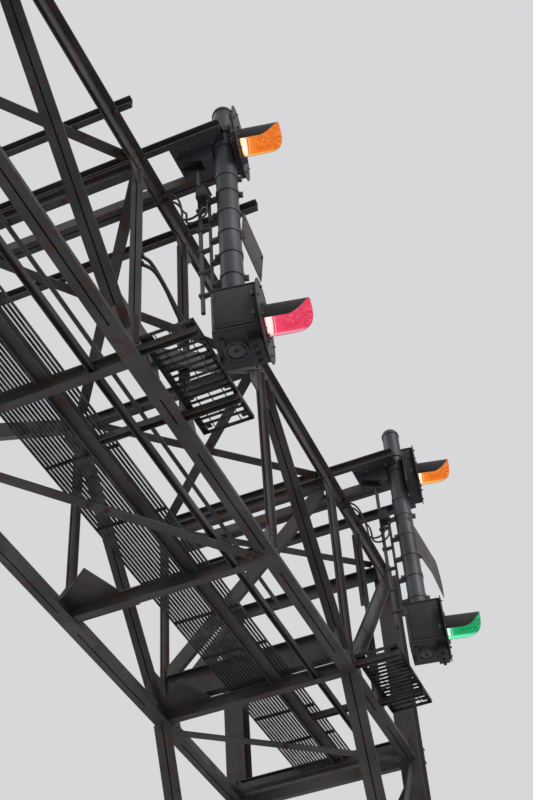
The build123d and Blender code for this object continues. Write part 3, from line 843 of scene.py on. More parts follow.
@dataclass
class TrussSide:
    """The rivets of one lattice side of the truss, on both faces of its gusset plates."""

    name: str
    shop: Workshop
    middle_bay: float = 2.360
    side_bay: float = 1.780
    tower_bay: float = 1.760
    chord_face: float = 0.018
    web_face: float = 0.016
    wide_gusset: float = 0.335
    narrow_gusset: float = 0.125
    end_margin: float = 0.03
    chord_rows: tuple[float, ...] = (-0.032, 0.036)
    post_rows: tuple[float, ...] = (0.008,)
    brace_rows: tuple[float, ...] = (-0.030, 0.022)
    post_inset: float = 0.083
    brace_inset: float = 0.185
    pitch: float = 0.075
    stitch_pitch: float = 0.300
    stitch_margin: float = 0.36

    def __post_init__(self) -> None:
        """Take the side's plane and levels from the frame."""
        self.plane, _, self.low = middle_of(f"{self.name}_bottom_chord")
        self.high = middle_of(f"{self.name}_top_chord")[2]
        self.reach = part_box(f"{self.name}_bottom_chord")[1][1]
        self.knee = self.middle_bay + self.side_bay
        half = [0.0, self.middle_bay, self.knee, self.knee + self.tower_bay]
        self.stations = [-y for y in reversed(half[1:])] + half

    def members(self) -> list[Member]:
        """The chords' joints, the posts and the diagonals.

        Returns:
            Each member, with how far its rivets are from its ends.
        """
        found = []
        for index, y in enumerate(self.stations):
            wide_low = index % 2 == 1
            for level, wide in ((self.low, wide_low), (self.high, not wide_low)):
                half = self.wide_gusset if wide else self.narrow_gusset
                start = max(y - half, -self.reach + self.end_margin)
                end = min(y + half, self.reach - self.end_margin)
                count = int((end - start) / 2 // self.pitch) + 1
                found.append(Member((start, level), (end, level), self.chord_face, self.chord_rows,
                                    [i * self.pitch for i in range(count)]))
            if 0 < index < len(self.stations) - 1:
                found.append(Member((y, self.low + self.post_inset), (y, self.high - self.post_inset),
                                    self.web_face, self.post_rows, [0.035 + 0.06 * i for i in range(3)]))
        rise = self.high - self.low
        for low_y, high_y in ((0.0, self.middle_bay), (self.knee, self.middle_bay),
                              (self.knee, self.knee + self.tower_bay)):
            run = high_y - low_y
            length = hypot(run, rise)
            inset = self.brace_inset * length / rise
            for hand in (1, -1):
                unit = Vector((hand * run / length, rise / length))
                start = Vector((hand * low_y, self.low)) + unit * inset
                end = Vector((hand * high_y, self.high)) - unit * inset
                found.append(Member(start, end, self.web_face, self.brace_rows, [0.0, 0.065, 0.13, 0.195]))
        return found

    def build(self) -> None:
        """Rivet both faces of the side."""
        places = []
        for member in self.members():
            for y, z in member.rivets():
                places += both_faces(self.plane, member.face, y, z)
        for i in range(int(2 * self.reach // self.stitch_pitch)):
            y = -self.reach + (i + 0.5) * self.stitch_pitch
            if min(abs(y - station) for station in self.stations) >= self.stitch_margin:
                for level in (self.low, self.high):
                    places += both_faces(self.plane, self.chord_face, y, level)
        rivets = self.shop.repeat(self.shop.button(*RIVET_HEAD), places)
        self.shop.hand_in(rivets, f"{self.name}_side_rivets", Slot.STEEL, RIVET)


@dataclass
class TowerRivets:
    """The rivets where the lattice of the towers meets their raking legs and outer legs."""

    shop: Workshop
    haunch_level: float = 4.750
    haunch_y: float = 5.250
    knee_y: float = 4.140
    chord_level: float = 7.900
    foot_y: float = 5.470
    foot_level: float = 0.030
    foot_margin: float = 0.03
    face: float = 0.018
    leg_row: float = 0.018
    levels: tuple[float, ...] = (6.2475, 4.750, 3.600, 2.450, 1.300, 0.190)
    steps: tuple[float, ...] = (-0.15, -0.09, -0.03, 0.03, 0.09, 0.15)

    def rake_y(self, z: float) -> float:
        """How far the raking leg stands from midspan.

        Args:
            z: The height at which it is asked.

        Returns:
            The distance along y.
        """
        if z > self.haunch_level:
            share = (z - self.haunch_level) / (self.chord_level - self.haunch_level)
            return self.haunch_y + (self.knee_y - self.haunch_y) * share
        share = (z - self.foot_level) / (self.haunch_level - self.foot_level)
        return self.foot_y + (self.haunch_y - self.foot_y) * share

    def build(self) -> None:
        """Rivet each joint on both faces of all four columns."""
        places = []
        heights = [level + step for level in self.levels for step in self.steps]
        for side in SIDES:
            plane = middle_of(f"{side}_bottom_chord")[0]
            for hand in (1, -1):
                for z in heights:
                    if z >= self.foot_level + self.foot_margin:
                        places += both_faces(plane, self.face, hand * (self.rake_y(z) + self.leg_row), z)
        rivets = self.shop.repeat(self.shop.button(*RIVET_HEAD), places)
        self.shop.hand_in(rivets, "tower_rivets", Slot.STEEL, RIVET)


@dataclass
class TopAndBottom:
    """The bolts of the flat bracing, the struts and the beams that lie across the top chords."""

    shop: Workshop
    nut_radius: float = 0.020
    nut_height: float = 0.018
    washer: float = 0.004
    brace_reach: float = 0.8345
    panel_ends: tuple[float, ...] = (-5.740, -4.140, -2.360, 0.0, 2.360, 4.140, 5.740)
    end_bolts: tuple[float, float] = (0.04, 0.10)
    crossing_bolt: float = 0.07
    beam_webs: tuple[tuple[float, int], ...] = (
        (0.010, -1), (0.341, 1), (0.453, -1), (0.835, -1),
        (4.175, -1), (4.506, 1), (4.618, -1), (5.000, -1), (-0.455, -1))
    beam_gauge: tuple[float, float] = (0.042, 0.027)
    flange: float = 0.012
    tie_levels: tuple[float, ...] = (7.960, 4.900, 2.400)
    tie_face: float = 6.010
    tie_gauge: tuple[float, float] = (0.06, 0.04)

    def nut(self) -> Piece:
        """A nut on a washer, with the bolt's end standing out of it."""
        return self.shop.stack((self.nut_radius * 1.25, self.washer, 14),
                               (self.nut_radius * 1.15, self.nut_height, 6, self.washer, 0.002),
                               (self.nut_radius * 0.55, 0.010, 10, self.washer + self.nut_height))

    def brace_places(self, node: str, middle: float, half: float) -> list[Matrix]:
        """Places under one plane of flat bracing, only where there is a brace behind them.

        Args:
            node: The bracing's CAD node.
            middle: Halfway between the front and the back chords.
            half: Half the distance between them.

        Returns:
            The nuts' places.
        """
        level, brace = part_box(node)[0][2], bpy.data.objects[node]
        below, up = Vector((0.0, 0.0, 0.01)), Vector((0.0, 0.0, 1.0))
        near, far = self.end_bolts
        places = []
        for ends in zip(self.panel_ends[:-1], self.panel_ends[1:]):
            for y_back, y_front in (ends, ends[::-1]):
                setback = (y_front - y_back) * (half - self.brace_reach) / (2 * half)
                start = Vector((middle - self.brace_reach, y_back + setback, level))
                end = Vector((middle + self.brace_reach, y_front - setback, level))
                along = (end - start).normalized()
                crossing = (start + end) / 2
                for base, step in ((start, near), (start, far), (crossing, self.crossing_bolt),
                                   (crossing, -self.crossing_bolt), (end, -far), (end, -near)):
                    spot = base + along * step
                    if brace.ray_cast(spot - below, up, distance=0.03)[0]:
                        places.append(facing(tuple(spot), (0, 0, -1), spot.x))
        return places

    def build(self) -> None:
        """Bolt the bracing's ends, the beams to the chords, and the ties to the towers."""
        planes = [middle_of(f"{side}_top_chord")[0] for side in SIDES]
        middle, half = sum(planes) / 2, (planes[0] - planes[1]) / 2
        places = []
        for node in ("top_bracing", "bottom_bracing"):
            places += self.brace_places(node, middle, half)
        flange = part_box("front_top_chord")[1][2] - self.flange
        across, out = self.beam_gauge
        places += [facing((plane + side * across, web + hand * out, flange), (0, 0, -1))
                   for web, hand in self.beam_webs for plane in planes for side in (-1, 1)]
        nuts = self.shop.repeat(self.nut(), places)
        self.shop.hand_in(nuts, "bracing_and_beam_nuts", Slot.STEEL, RIVET)
        across, up = self.tie_gauge
        places = [facing((plane + dx, hand * self.tie_face, level + dz), (0, hand, 0))
                  for hand in (1, -1) for level in self.tie_levels for plane in planes
                  for dx in (-across, across) for dz in (-up, up)]
        self.shop.hand_in(self.shop.repeat(self.nut(), places), "tower_tie_nuts", Slot.STEEL, RIVET)


@dataclass
class Column:
    """The foot of one pair of legs: anchor bolts, and stiffeners between leg and base plate."""

    shop: Workshop
    hand: int
    side: str
    stud_radius: float = 0.015
    nut_across: float = 0.060
    base_middle: float = 5.685
    anchor_gauge: tuple[float, float] = (0.150, 0.390)
    leg_y: float = 5.900
    stiffener: Place = (0.085, 0.010, 0.150)
    stiffener_gauge: tuple[float, float] = (0.100, 0.085)

    def __post_init__(self) -> None:
        """Take the column's plane and its base plate's top from the frame."""
        self.tower = "far" if self.hand > 0 else "near"
        self.plane = middle_of(f"{self.side}_bottom_chord")[0]
        self.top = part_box(f"{self.tower}_base_plates")[1][2]

    def build(self) -> None:
        """Bolt the base plate down and weld its stiffeners on."""
        shop, (across, along) = self.shop, self.anchor_gauge
        radius = self.nut_across / 2 * 1.15
        anchor = shop.stack((self.nut_across * 0.62, 0.006, 20), (radius, 0.028, 6, 0.006, 0.003),
                            (radius, 0.018, 6, 0.036, 0.003), (self.stud_radius, 0.078, 14, 0.006))
        places = [facing((self.plane + dx, self.hand * self.base_middle + dy, self.top), (0, 0, 1), dx + dy)
                  for dx in (-across, across) for dy in (-along, along)]
        shop.hand_in(shop.repeat(anchor, places), f"{self.tower}_{self.side}_anchor_nuts", Slot.STEEL, ZINC)
        length, _, height = self.stiffener
        web = shop.wedge(self.stiffener, (length / 2, 0.0, height / 2), 0.0)
        shop.pick(web)
        shop.pick_vertices(web, lambda v: v.x > length / 2 and v.z > height / 2)
        bpy.ops.transform.translate(value=(0.0, 0.0, -0.75 * height))
        bpy.ops.object.mode_set(mode="OBJECT")
        across, along = self.stiffener_gauge
        y = self.hand * self.leg_y
        places = [shift(self.plane + dx, y + dy, self.top) @ Matrix.Rotation(turn, 4, "Z")
                  for turn, dx in ((0.0, across), (pi, -across)) for dy in (-along, along)]
        name = f"{self.tower}_{self.side}_foot_stiffeners"
        shop.hand_in(shop.repeat(web, places), name, Slot.STEEL, STEEL)


@dataclass
class SignalHead:
    """One lamp on its disc: case fittings, disc rim and studs, lens bezel and the hood's lining of painted
    lamp light.
    """

    shop: Workshop
    mast: str
    level: str
    place: HeadPlace
    lamp: LampColour
    case_depth: float
    case_width: float = 0.350
    case_height: float = 0.430
    disc_radius: float = 0.295
    disc_back: float = -0.003
    bezel: Place = (0.1035, 0.0028, 0.0035)
    skin: float = 0.0004
    lining: float = 0.0006
    stud_circles: tuple[tuple[float, int], ...] = ((0.128, 8), (0.245, 6))
    lug_level: float = -0.235
    knob_levels: tuple[float, float] = (-0.142, -0.200)
    hinge_levels: tuple[float, float] = (-0.12, 0.12)
    latch_levels: tuple[float, float] = (-0.09, 0.09)
    gland_row: tuple[float, ...] = (-0.060, 0.0, 0.060)

    def __post_init__(self) -> None:
        """Take the head's name, its place and the run of its case's doors."""
        self.name = f"{self.mast}_{self.level}"
        self.matrix = self.place.matrix()
        self.door = self.case_depth - (0.060 if self.case_depth > 0.1 else 0.020)
        self.middle = self.disc_back - self.case_depth / 2

    def build(self) -> None:
        """Dress the head."""
        self.light_lens()
        self.line_hood()
        self.trim_disc()
        self.fit_case()
        if self.level == "lower":
            self.hang_terminal_box()

    def hand_in(self, parts: Piece | list[Piece], name: str, surface: object) -> None:
        """Hand in a piece that was made in the head's own frame."""
        self.shop.hand_in(parts, f"{self.name}_{name}", Slot.BLACK, surface, self.matrix)

    def light_lens(self) -> None:
        """Give the lens its lit glass, and a bezel that clamps it."""
        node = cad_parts[f"{self.name}_lens"]
        node.material_slots[0].material = self.shop.finish(LitGlass(self.lamp, self.place))
        self.hand_in(self.shop.ring(*self.bezel), "lens_bezel", BLACK)

    def line_hood(self) -> None:
        """Copy the hood's inner faces as a thin lining that carries the painted lamp light."""
        shape = bmesh.new()
        shape.from_mesh(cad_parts[f"{self.mast}_hoods"].data)
        bmesh.ops.remove_doubles(shape, verts=shape.verts, dist=0.00005)
        inverse = self.place.hood_matrix().inverted()
        turn = inverse.to_3x3()
        outside = []
        for face in shape.faces:
            middle = inverse @ face.calc_center_median()
            normal = turn @ face.normal
            out = hypot(middle.y, middle.z)
            near = -0.05 < middle.x < 1.2 * self.place.hood_length
            inward = out > 0 and (normal.y * middle.y + normal.z * middle.z) / out < -0.7
            if not (near and inward and out < self.place.bore + 0.001):
                outside.append(face)
        bmesh.ops.delete(shape, geom=outside, context="FACES")
        shape.transform(inverse)
        for vertex in shape.verts:
            out = hypot(vertex.co.y, vertex.co.z)
            share = (out - self.skin) / out
            vertex.co.y *= share
            vertex.co.z *= share
        data = bpy.data.meshes.new("lining")
        shape.to_mesh(data)
        shape.free()
        piece = link("lining", data)
        self.shop.pick(piece)
        self.shop.hand_in(self.shop.thicken(piece, self.lining), f"{self.name}_hood_lining", self.lamp.slot,
                          PaintedHoodLight(self.lamp, self.place), self.place.hood_matrix())

    def trim_disc(self) -> None:
        """Roll the disc's rim, and set the studs that hold it and the hood's flange."""
        shop = self.shop
        rim = shop.ring(self.disc_radius - 0.004, 0.0042, -0.0015, 72)
        self.hand_in([rim, shop.ring(self.place.bore + 0.007, 0.0045, 0.0035)], "disc_rim", BLACK)
        places = [facing((0.0, r * sin(a), r * cos(a)), (1, 0, 0)) for r, count in self.stud_circles
                  for a in [2 * pi * (i + 0.5) / count for i in range(count)]]
        stud = shop.stack((0.011, 0.003, 12), (0.0085, 0.008, 6, 0.003, 0.001), (0.004, 0.006, 8, 0.011))
        self.hand_in(shop.repeat(stud, places), "disc_studs", ZINC)
        if self.name == "near_upper":
            nose = shop.slab((0.040, 0.036, 0.060), (0.024, 0.0, self.lug_level))
            shop.pick_vertices(nose, lambda v: v.x > 0.03)
            bpy.ops.transform.resize(value=(1.0, 1.0, 0.35), center_override=(0.044, 0.0, self.lug_level))
            bpy.ops.object.mode_set(mode="OBJECT")
            lug = [nose, shop.slab((0.006, 0.060, 0.090), (0.003, 0.0, self.lug_level))]
        else:
            lug = []
            for z in self.knob_levels:
                knob = shop.join([shop.stub(0.009, 0.012, 12), shop.button(0.013, 0.022)])
                knob.data.transform(facing((0.004, 0.0, z), (1, 0, 0)))
                lug.append(knob)
            lug.append(shop.slab((0.006, 0.034, 0.110), (0.003, 0.0, -0.172)))
        self.hand_in(lug, "hood_bracket", BLACK)

    def fit_case(self) -> None:
        """Give the case its side doors, hinges, latches and its two ribs."""
        shop, middle, door = self.shop, self.middle, self.door
        half_y, half_z = self.case_width / 2, self.case_height / 2
        doors, latches = [], []
        for sign in (1, -1):
            doors.append(shop.slab((door, 0.008, self.case_height - 0.070),
                                   (middle, sign * (half_y + 0.003), 0.0), 0.003))
            doors.append(shop.slab((door - 0.016, 0.004, self.case_height - 0.120),
                                   (middle, sign * (half_y + 0.008), 0.0), 0.0015))
            x, y = middle - door / 2 - 0.004, sign * (half_y + 0.009)
            for z in self.hinge_levels:
                doors.append(shop.pipe([(x, y, z - 0.028), (x, y, z), (x, y, z + 0.028)], 0.0055))
            x = middle + door / 2 - 0.012
            for z in self.latch_levels:
                latches.append(shop.slab((0.022, 0.010, 0.044), (x, sign * (half_y + 0.013), z), 0.003))
                low, high = sign * (half_y + 0.016), sign * (half_y + 0.022)
                latches.append(shop.pipe([(x, low, z + 0.016), (x, high, z), (x, low, z - 0.016)], 0.003))
        for z in (half_z - 0.012, -half_z + 0.012):
            doors.append(shop.slab((self.case_depth - 0.008, self.case_width + 0.012, 0.010),
                                   (middle, 0.0, z), 0.003))
        self.hand_in(doors, "case_doors", BLACK)
        self.hand_in(latches, "case_latches", ZINC)

    def hang_terminal_box(self) -> None:
        """The terminal box under the case, with its lid, glands and the bracket that holds it."""
        shop, under = self.shop, -self.case_height / 2
        parts = [shop.slab((0.095, 0.200, 0.075), (-0.062, 0.0, under - 0.040), 0.006),
                 shop.slab((0.105, 0.215, 0.008), (-0.062, 0.0, under - 0.006)),
                 shop.slab((0.006, 0.150, 0.055), (-0.012, 0.0, under - 0.042)),
                 shop.slab((0.030, 0.240, 0.014), (-0.280, 0.0, under - 0.008), 0.003),
                 shop.slab((0.012, 0.050, 0.060), (-0.320, 0.060, under - 0.030), 0.003)]
        for y in self.gland_row:
            gland = shop.stack((0.019, 0.012, 6, 0.0, 0.002), (0.014, 0.026, 14, 0.012, 0.004))
            gland.data.transform(facing((-0.062, y, under - 0.077), (0, 0, -1)))
            parts.append(gland)
        self.hand_in(parts, "terminal_box", BLACK)


@dataclass
class MastFittings:
    """The bands, brackets, second conduit and junction box of one signal mast."""

    shop: Workshop
    mast: str
    band_thickness: float = 0.006
    band_height: float = 0.045
    band_turns: tuple[float, ...] = (22.0, 200.0, 22.0, 200.0, 22.0, 22.0)
    ear: float = 0.014
    clamp_pitch: float = 0.240
    clamps: int = 5
    knee_height: float = 0.170
    cap_bolts: int = 6
    cap_bolt_circle: float = 0.068
    bracket_bolts: int = 10
    bracket_circle: float = 0.118
    conduit_radius: float = 0.017
    conduit_gap: float = 0.075

    def __post_init__(self) -> None:
        """Take the mast's axis and size, its conduit and its bracket from the frame."""
        low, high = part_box(f"{self.mast}_mast")
        self.x, self.y, _ = middle_of(f"{self.mast}_mast")
        self.radius = (high[0] - low[0]) / 2
        self.foot = low[2]
        low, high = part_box(f"{self.mast}_mast_conduit")
        self.conduit_x, self.conduit_low, self.conduit_high = low[0] + 0.013, low[2], high[2]
        low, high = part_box(f"{self.mast}_mast_bracket")
        self.plate_low, self.plate_high, self.plate_start = low[2], high[2], low[0]

    def hand_in(self, parts: Piece | list[Piece], name: str, surface: object,
                place: Matrix | None = None) -> None:
        """Hand in a piece of this mast."""
        self.shop.hand_in(parts, f"{self.mast}_{name}", Slot.MAST, surface, place)

    def build(self) -> None:
        """Fit the mast out."""
        self.fit_bands()
        self.fit_knees()
        self.fit_conduit()
        self.close_foot()

    def close_foot(self) -> None:
        """A flanged cap on the mast's open foot, with its bolts and a drain."""
        shop, thick = self.shop, 0.014
        cap = [shop.stub(self.radius + 0.004, thick, 40, -thick, 0.003),
               shop.stub(self.radius * 0.72, 0.012, 32, 0.0, 0.003),
               shop.stub(0.014, 0.022, 6, 0.012, 0.002)]
        out = self.cap_bolt_circle
        for i in range(self.cap_bolts):
            angle = 2 * pi * i / self.cap_bolts
            bolt = shop.stub(0.008, 0.009, 6, 0.0, 0.001)
            bolt.data.transform(shift(out * cos(angle), out * sin(angle), 0.0))
            cap.append(bolt)
        self.hand_in(cap, "mast_foot_cap", MAST, facing((self.x, self.y, self.foot + thick), (0, 0, -1)))

    def fit_bands(self) -> None:
        """Straps with bolted ears at each conduit clamp, and a collar under the beams."""
        shop, out = self.shop, self.radius + self.ear
        strap = shop.band(self.radius, self.band_thickness, self.band_height)
        ears = [shop.slab((0.040, 0.007, self.band_height), (out, side * 0.009, 0.0), 0.0015)
                for side in (1, -1)]
        levels = [self.conduit_high - 0.120 - self.clamp_pitch * i for i in range(self.clamps)]
        places = [shift(self.x, self.y, z) @ Matrix.Rotation(radians(turn), 4, "Z")
                  for z, turn in zip(levels + [self.conduit_high + 0.075], self.band_turns)]
        self.hand_in(shop.repeat(shop.join([strap] + ears), places), "mast_bands", MAST)
        bolt = shop.stack((0.012, 0.010, 6, 0.013, 0.0015), (0.007, 0.040, 10, -0.020))
        spots = [place @ shift(out + 0.006, 0, 0) @ Matrix.Rotation(-pi / 2, 4, "X") for place in places]
        self.hand_in(shop.repeat(bolt, spots), "band_bolts", ZINC)

    def fit_knees(self) -> None:
        """Knee plates under the bracket, a split collar and the bolts that hold them."""
        shop, height = self.shop, self.knee_height
        start, end = self.plate_start + 0.02, self.x - self.radius
        knees = [shop.wedge((end - start, 0.010, height),
                            ((start + end) / 2, self.y + dy, self.plate_low - height / 2), 0.78)
                 for dy in (-0.055, 0.055)]
        knees.append(shop.slab((0.10, 0.150, 0.012), (end - 0.04, self.y, self.plate_low - height), 0.003))
        for width, z in ((0.055, self.plate_low - 0.045), (0.050, self.plate_high + 0.028)):
            collar = shop.band(self.radius, 0.010, width)
            collar.data.transform(shift(self.x, self.y, z))
            knees.append(collar)
        self.hand_in(knees, "bracket_knees", MAST)
        spots = []
        for i in range(self.bracket_bolts):
            angle = 2 * pi * (i + 0.5) / self.bracket_bolts
            x = self.x + self.bracket_circle * cos(angle)
            if x < self.x + 0.02:
                spots.append((x, self.y + self.bracket_circle * sin(angle)))
        spots += [(self.plate_start + dx, self.y + 0.010 + dy)
                  for dx in (0.03, 0.13) for dy in (-0.105, 0.105)]
        places = [facing((*spot, z), (0, 0, way)) for spot in spots
                  for z, way in ((self.plate_low, -1), (self.plate_high, 1))]
        nut = shop.stack((0.021, 0.004, 14), (0.019, 0.015, 6, 0.004, 0.002), (0.009, 0.009, 10, 0.019))
        self.hand_in(shop.repeat(nut, places), "bracket_bolts", ZINC)

    def fit_conduit(self) -> None:
        """A heavier conduit behind the first one, with its stand-offs and a junction box."""
        shop, x, y = self.shop, self.conduit_x - self.conduit_gap, self.y - 0.005
        high, low = self.conduit_high + 0.300, self.conduit_low - 0.120
        parts = [shop.pipe([(x, y, z) for z in (high, (high + low) / 2, low)], self.conduit_radius)]
        for i in range(self.clamps):
            z = self.conduit_high - 0.200 - self.clamp_pitch * i
            parts.append(shop.slab((self.conduit_x - x, 0.034, 0.022),
                                   ((x + self.conduit_x) / 2, self.y - 0.002, z), 0.003))
            parts.append(shop.slab((0.050, 0.044, 0.030), (x, y, z), 0.005))
        self.hand_in(parts, "second_conduit", MAST)
        x, z = x + 0.055, self.conduit_high - 0.115
        self.hand_in([shop.slab((0.085, 0.105, 0.120), (x, self.y - 0.060, z), 0.006),
                      shop.slab((0.070, 0.006, 0.105), (x, self.y - 0.115, z)),
                      shop.slab((0.100, 0.120, 0.010), (x, self.y - 0.062, z + 0.062), 0.003)],
                     "junction_box", BLACK)


@dataclass
class Platform:
    """The standing grating under a mast: flat bars across, let into two edge bars."""

    shop: Workshop
    mast: str
    pitch: float = 0.057
    bar_width: float = 0.009
    bar_depth: float = 0.022
    edge_width: float = 0.040
    plate: float = 0.006
    long_bars: tuple[float, ...] = (-0.25, 0.0, 0.25)
    clip_steps: tuple[float, ...] = (-0.45, -0.15, 0.15, 0.45)

    def build(self) -> None:
        """Make the bars and their frame in place of the plain grating."""
        shop, node, ease = self.shop, f"{self.mast}_platform_grating", 0.001
        low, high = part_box(node)
        x, y, z = middle_of(node)
        width, length, depth = [b - a for a, b in zip(low, high)]
        top, edge, plate = high[2], self.edge_width, self.plate
        count = int((length - 2 * edge) // self.pitch)
        bar = shop.slab((width - edge, self.bar_width, self.bar_depth), (0.0, 0.0, 0.0), ease)
        steps = [(i - (count - 1) / 2) * self.pitch for i in range(count)]
        parts = [shop.repeat(bar, [shift(x, y + step, top - self.bar_depth / 2) for step in steps])]
        for side in (1, -1):
            rim = x + side * (width - edge) / 2
            out, end = x + side * (width / 2 - plate / 2), y + side * (length / 2 - plate / 2)
            parts += [shop.slab((edge, length, plate), (rim, y, top - plate / 2), ease),
                      shop.slab((plate, length, depth), (out, y, z), ease),
                      shop.slab((width, plate, depth), (x, end, z), ease)]
        parts += [shop.slab((plate, length - 2 * plate, 0.010), (x + share * width, y, top - 0.005), ease)
                  for share in self.long_bars]
        piece = shop.hand_in(parts, f"{self.mast}_platform_bars", Slot.GRATING, GRATING)
        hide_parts(node)
        places = [facing((x + side * (width / 2 - 0.06), y + step * length, top), (0, 0, 1))
                  for side in (1, -1) for step in self.clip_steps]
        clip = shop.join([shop.slab((0.040, 0.060, 0.004), (0.0, 0.0, 0.002), ease),
                          shop.stub(0.010, 0.009, 6, 0.004, 0.0015)])
        shop.hand_in(shop.repeat(clip, places), f"{self.mast}_platform_clips", Slot.GRATING, ZINC)


@dataclass
class NearPlate:
    """The near mast's bare number plate: enamelled sheet with a turned rim, bolted to two straps."""

    shop: Workshop
    length: float = 0.440
    height: float = 0.285
    sheet: float = 0.003
    rim: float = 0.006
    turn: float = radians(4.0)
    tilt: float = radians(6.0)
    root: float = -0.010
    gap: float = 0.0023
    strap_inset: float = 0.045

    def build(self) -> None:
        """Make the plate where the plain one is, and its straps."""
        shop, length, height, half = self.shop, self.length, self.height, self.sheet / 2
        x, y, _ = middle_of("near_mast")
        low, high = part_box("near_mast")
        middle = self.root + length / 2
        parts = [shop.slab((self.sheet, length, height), (half, middle, height / 2), 0.001)]
        for z in (0.004, height - 0.004):
            parts.append(shop.slab((0.008, length, self.rim), (half, middle, z), 0.0015))
        for side in (self.root + 0.004, self.root + length - 0.004):
            parts.append(shop.slab((0.008, self.rim, height), (half, side, height / 2), 0.0015))
        place = (shift(x, y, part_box("near_number_plate")[0][2]) @ Matrix.Rotation(self.turn, 4, "Z")
                 @ shift((high[0] - low[0]) / 2 + self.gap, 0, 0) @ Matrix.Rotation(self.tilt, 4, "Y"))
        plate = shop.hand_in(parts, "near_number_plate_enamel", Slot.PLATE, PLATE, place)
        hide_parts("near_number_plate")
        bolt = shop.stack((0.014, 0.003, 12), (0.011, 0.008, 6, 0.003, 0.001))
        levels = (self.strap_inset, height - self.strap_inset)
        spots = [facing((self.sheet, side, z), (1, 0, 0)) for side in (0.02, length - 0.04) for z in levels]
        shop.hand_in(shop.repeat(bolt, spots), "near_number_plate_bolts", Slot.PLATE, ZINC, place)
        straps = [shop.slab((0.006, 0.330, 0.030), (-0.0035, 0.150, z), 0.001) for z in levels]
        shop.hand_in(straps, "near_number_plate_straps", Slot.MAST, MAST, place)


@dataclass
class Cables:
    """The cables that loop from the truss to the masts, and the glands that they leave by."""

    shop: Workshop
    truss_diameter: float = 0.028
    truss_level: float = 8.86
    feed_diameter: float = 0.018
    box_top: float = 9.440

    def cable(self, name: str, points: list[Place], diameter: float) -> None:
        """One hanging cable, held at both ends.

        Args:
            name: What it is.
            points: Its route, as given.
            diameter: Over its sheath.
        """
        piece = self.shop.route(name, points, 12)
        data = piece.data
        bpy.context.view_layer.update()
        line = bpy.data.meshes.new_from_object(piece.evaluated_get(bpy.context.evaluated_depsgraph_get()))
        data.bevel_depth, data.bevel_resolution = diameter / 2, 3
        data.materials.append(self.shop.finish(SHEATH))
        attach(piece, BODY)

    def truss_route(self, rise: float, dip: float, out: float) -> list[Place]:
        """From a post of the truss to the next hanger.

        Args:
            rise: How far it starts above the lower cable.
            dip: How far it sags.
            out: How far it stands out from the posts.

        Returns:
            Its control points.
        """
        front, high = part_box("front_posts")[1][0], self.truss_level + rise
        return [(front - 0.028, 0.014, high), (front + out / 2, 0.060, high - 0.005),
                (front + out, 0.130, high - 0.015), (front + out + 0.01, 0.25, high - 0.05),
                (front + out + 0.015, 0.40, high - dip * 0.8), (front + out + 0.01, 0.55, high - dip),
                (front + out, 0.68, high - dip * 0.75), (front - 0.014, 0.763, high - 0.07)]

    def feed_route(self, y: float, drift: float, drop: float, end: float) -> list[Place]:
        """From the front top chord down in a loop into a mast's junction box.

        Args:
            y: Of the mast's axis.
            drift: How far it starts beside the other feed cable.
            drop: How far its loop hangs below the other's.
            end: Where it goes into the box, along x.

        Returns:
            Its control points.
        """
        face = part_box("front_top_chord")[1][0] - 0.048
        return [(face, y + 0.12 + drift, 9.985), (face + 0.08, y + 0.12 + drift, 9.975),
                (0.59, y + 0.11 + drift, 9.900 - drop / 2), (0.645, y + 0.07 + drift, 9.750 - drop),
                (end - 0.205, y + 0.02 + drift / 4, 9.580 - drop), (end - 0.180, y - 0.020, 9.440 - drop),
                (end - 0.175, y - 0.044, 9.350 - drop), (end - 0.124, y - 0.056, 9.296 - drop),
                (end - 0.051, y - 0.060, 9.296 - drop), (end, y - 0.057, 9.350 - drop),
                (end, y - 0.055, 9.424 - drop), (end, y - 0.054, self.box_top)]

    def build(self) -> None:
        """Hang the cables, each from a gland, and fit the glands."""
        places = []
        for name, sizes in (("near_truss_cable", (0.0, 0.17, 0.045)),
                            ("near_truss_cable_upper", (0.09, 0.12, 0.02))):
            points = self.truss_route(*sizes)
            self.cable(name, points, self.truss_diameter)
            places += [facing(points[0], (1.0, 0.0, 0.0)), facing(points[-1], (0.0, -1.0, 0.0))]
        for mast in MASTS:
            for name, sizes in (("cable", (0.0, 0.0, 0.888)), ("cable_lower", (0.07, 0.06, 0.922))):
                points = self.feed_route(middle_of(f"{mast}_mast")[1], *sizes)
                self.cable(f"{mast}_feed_{name}", points, self.feed_diameter)
                places += [facing(points[0], (1.0, 0.0, 0.0)), facing(points[-1], (0.0, 0.0, -1.0))]
        gland = self.shop.stack((0.022, 0.012, 6, -0.004, 0.002), (0.018, 0.020, 16, 0.008, 0.004))
        self.shop.hand_in(self.shop.repeat(gland, places), "cable_glands", Slot.BLACK, BLACK)


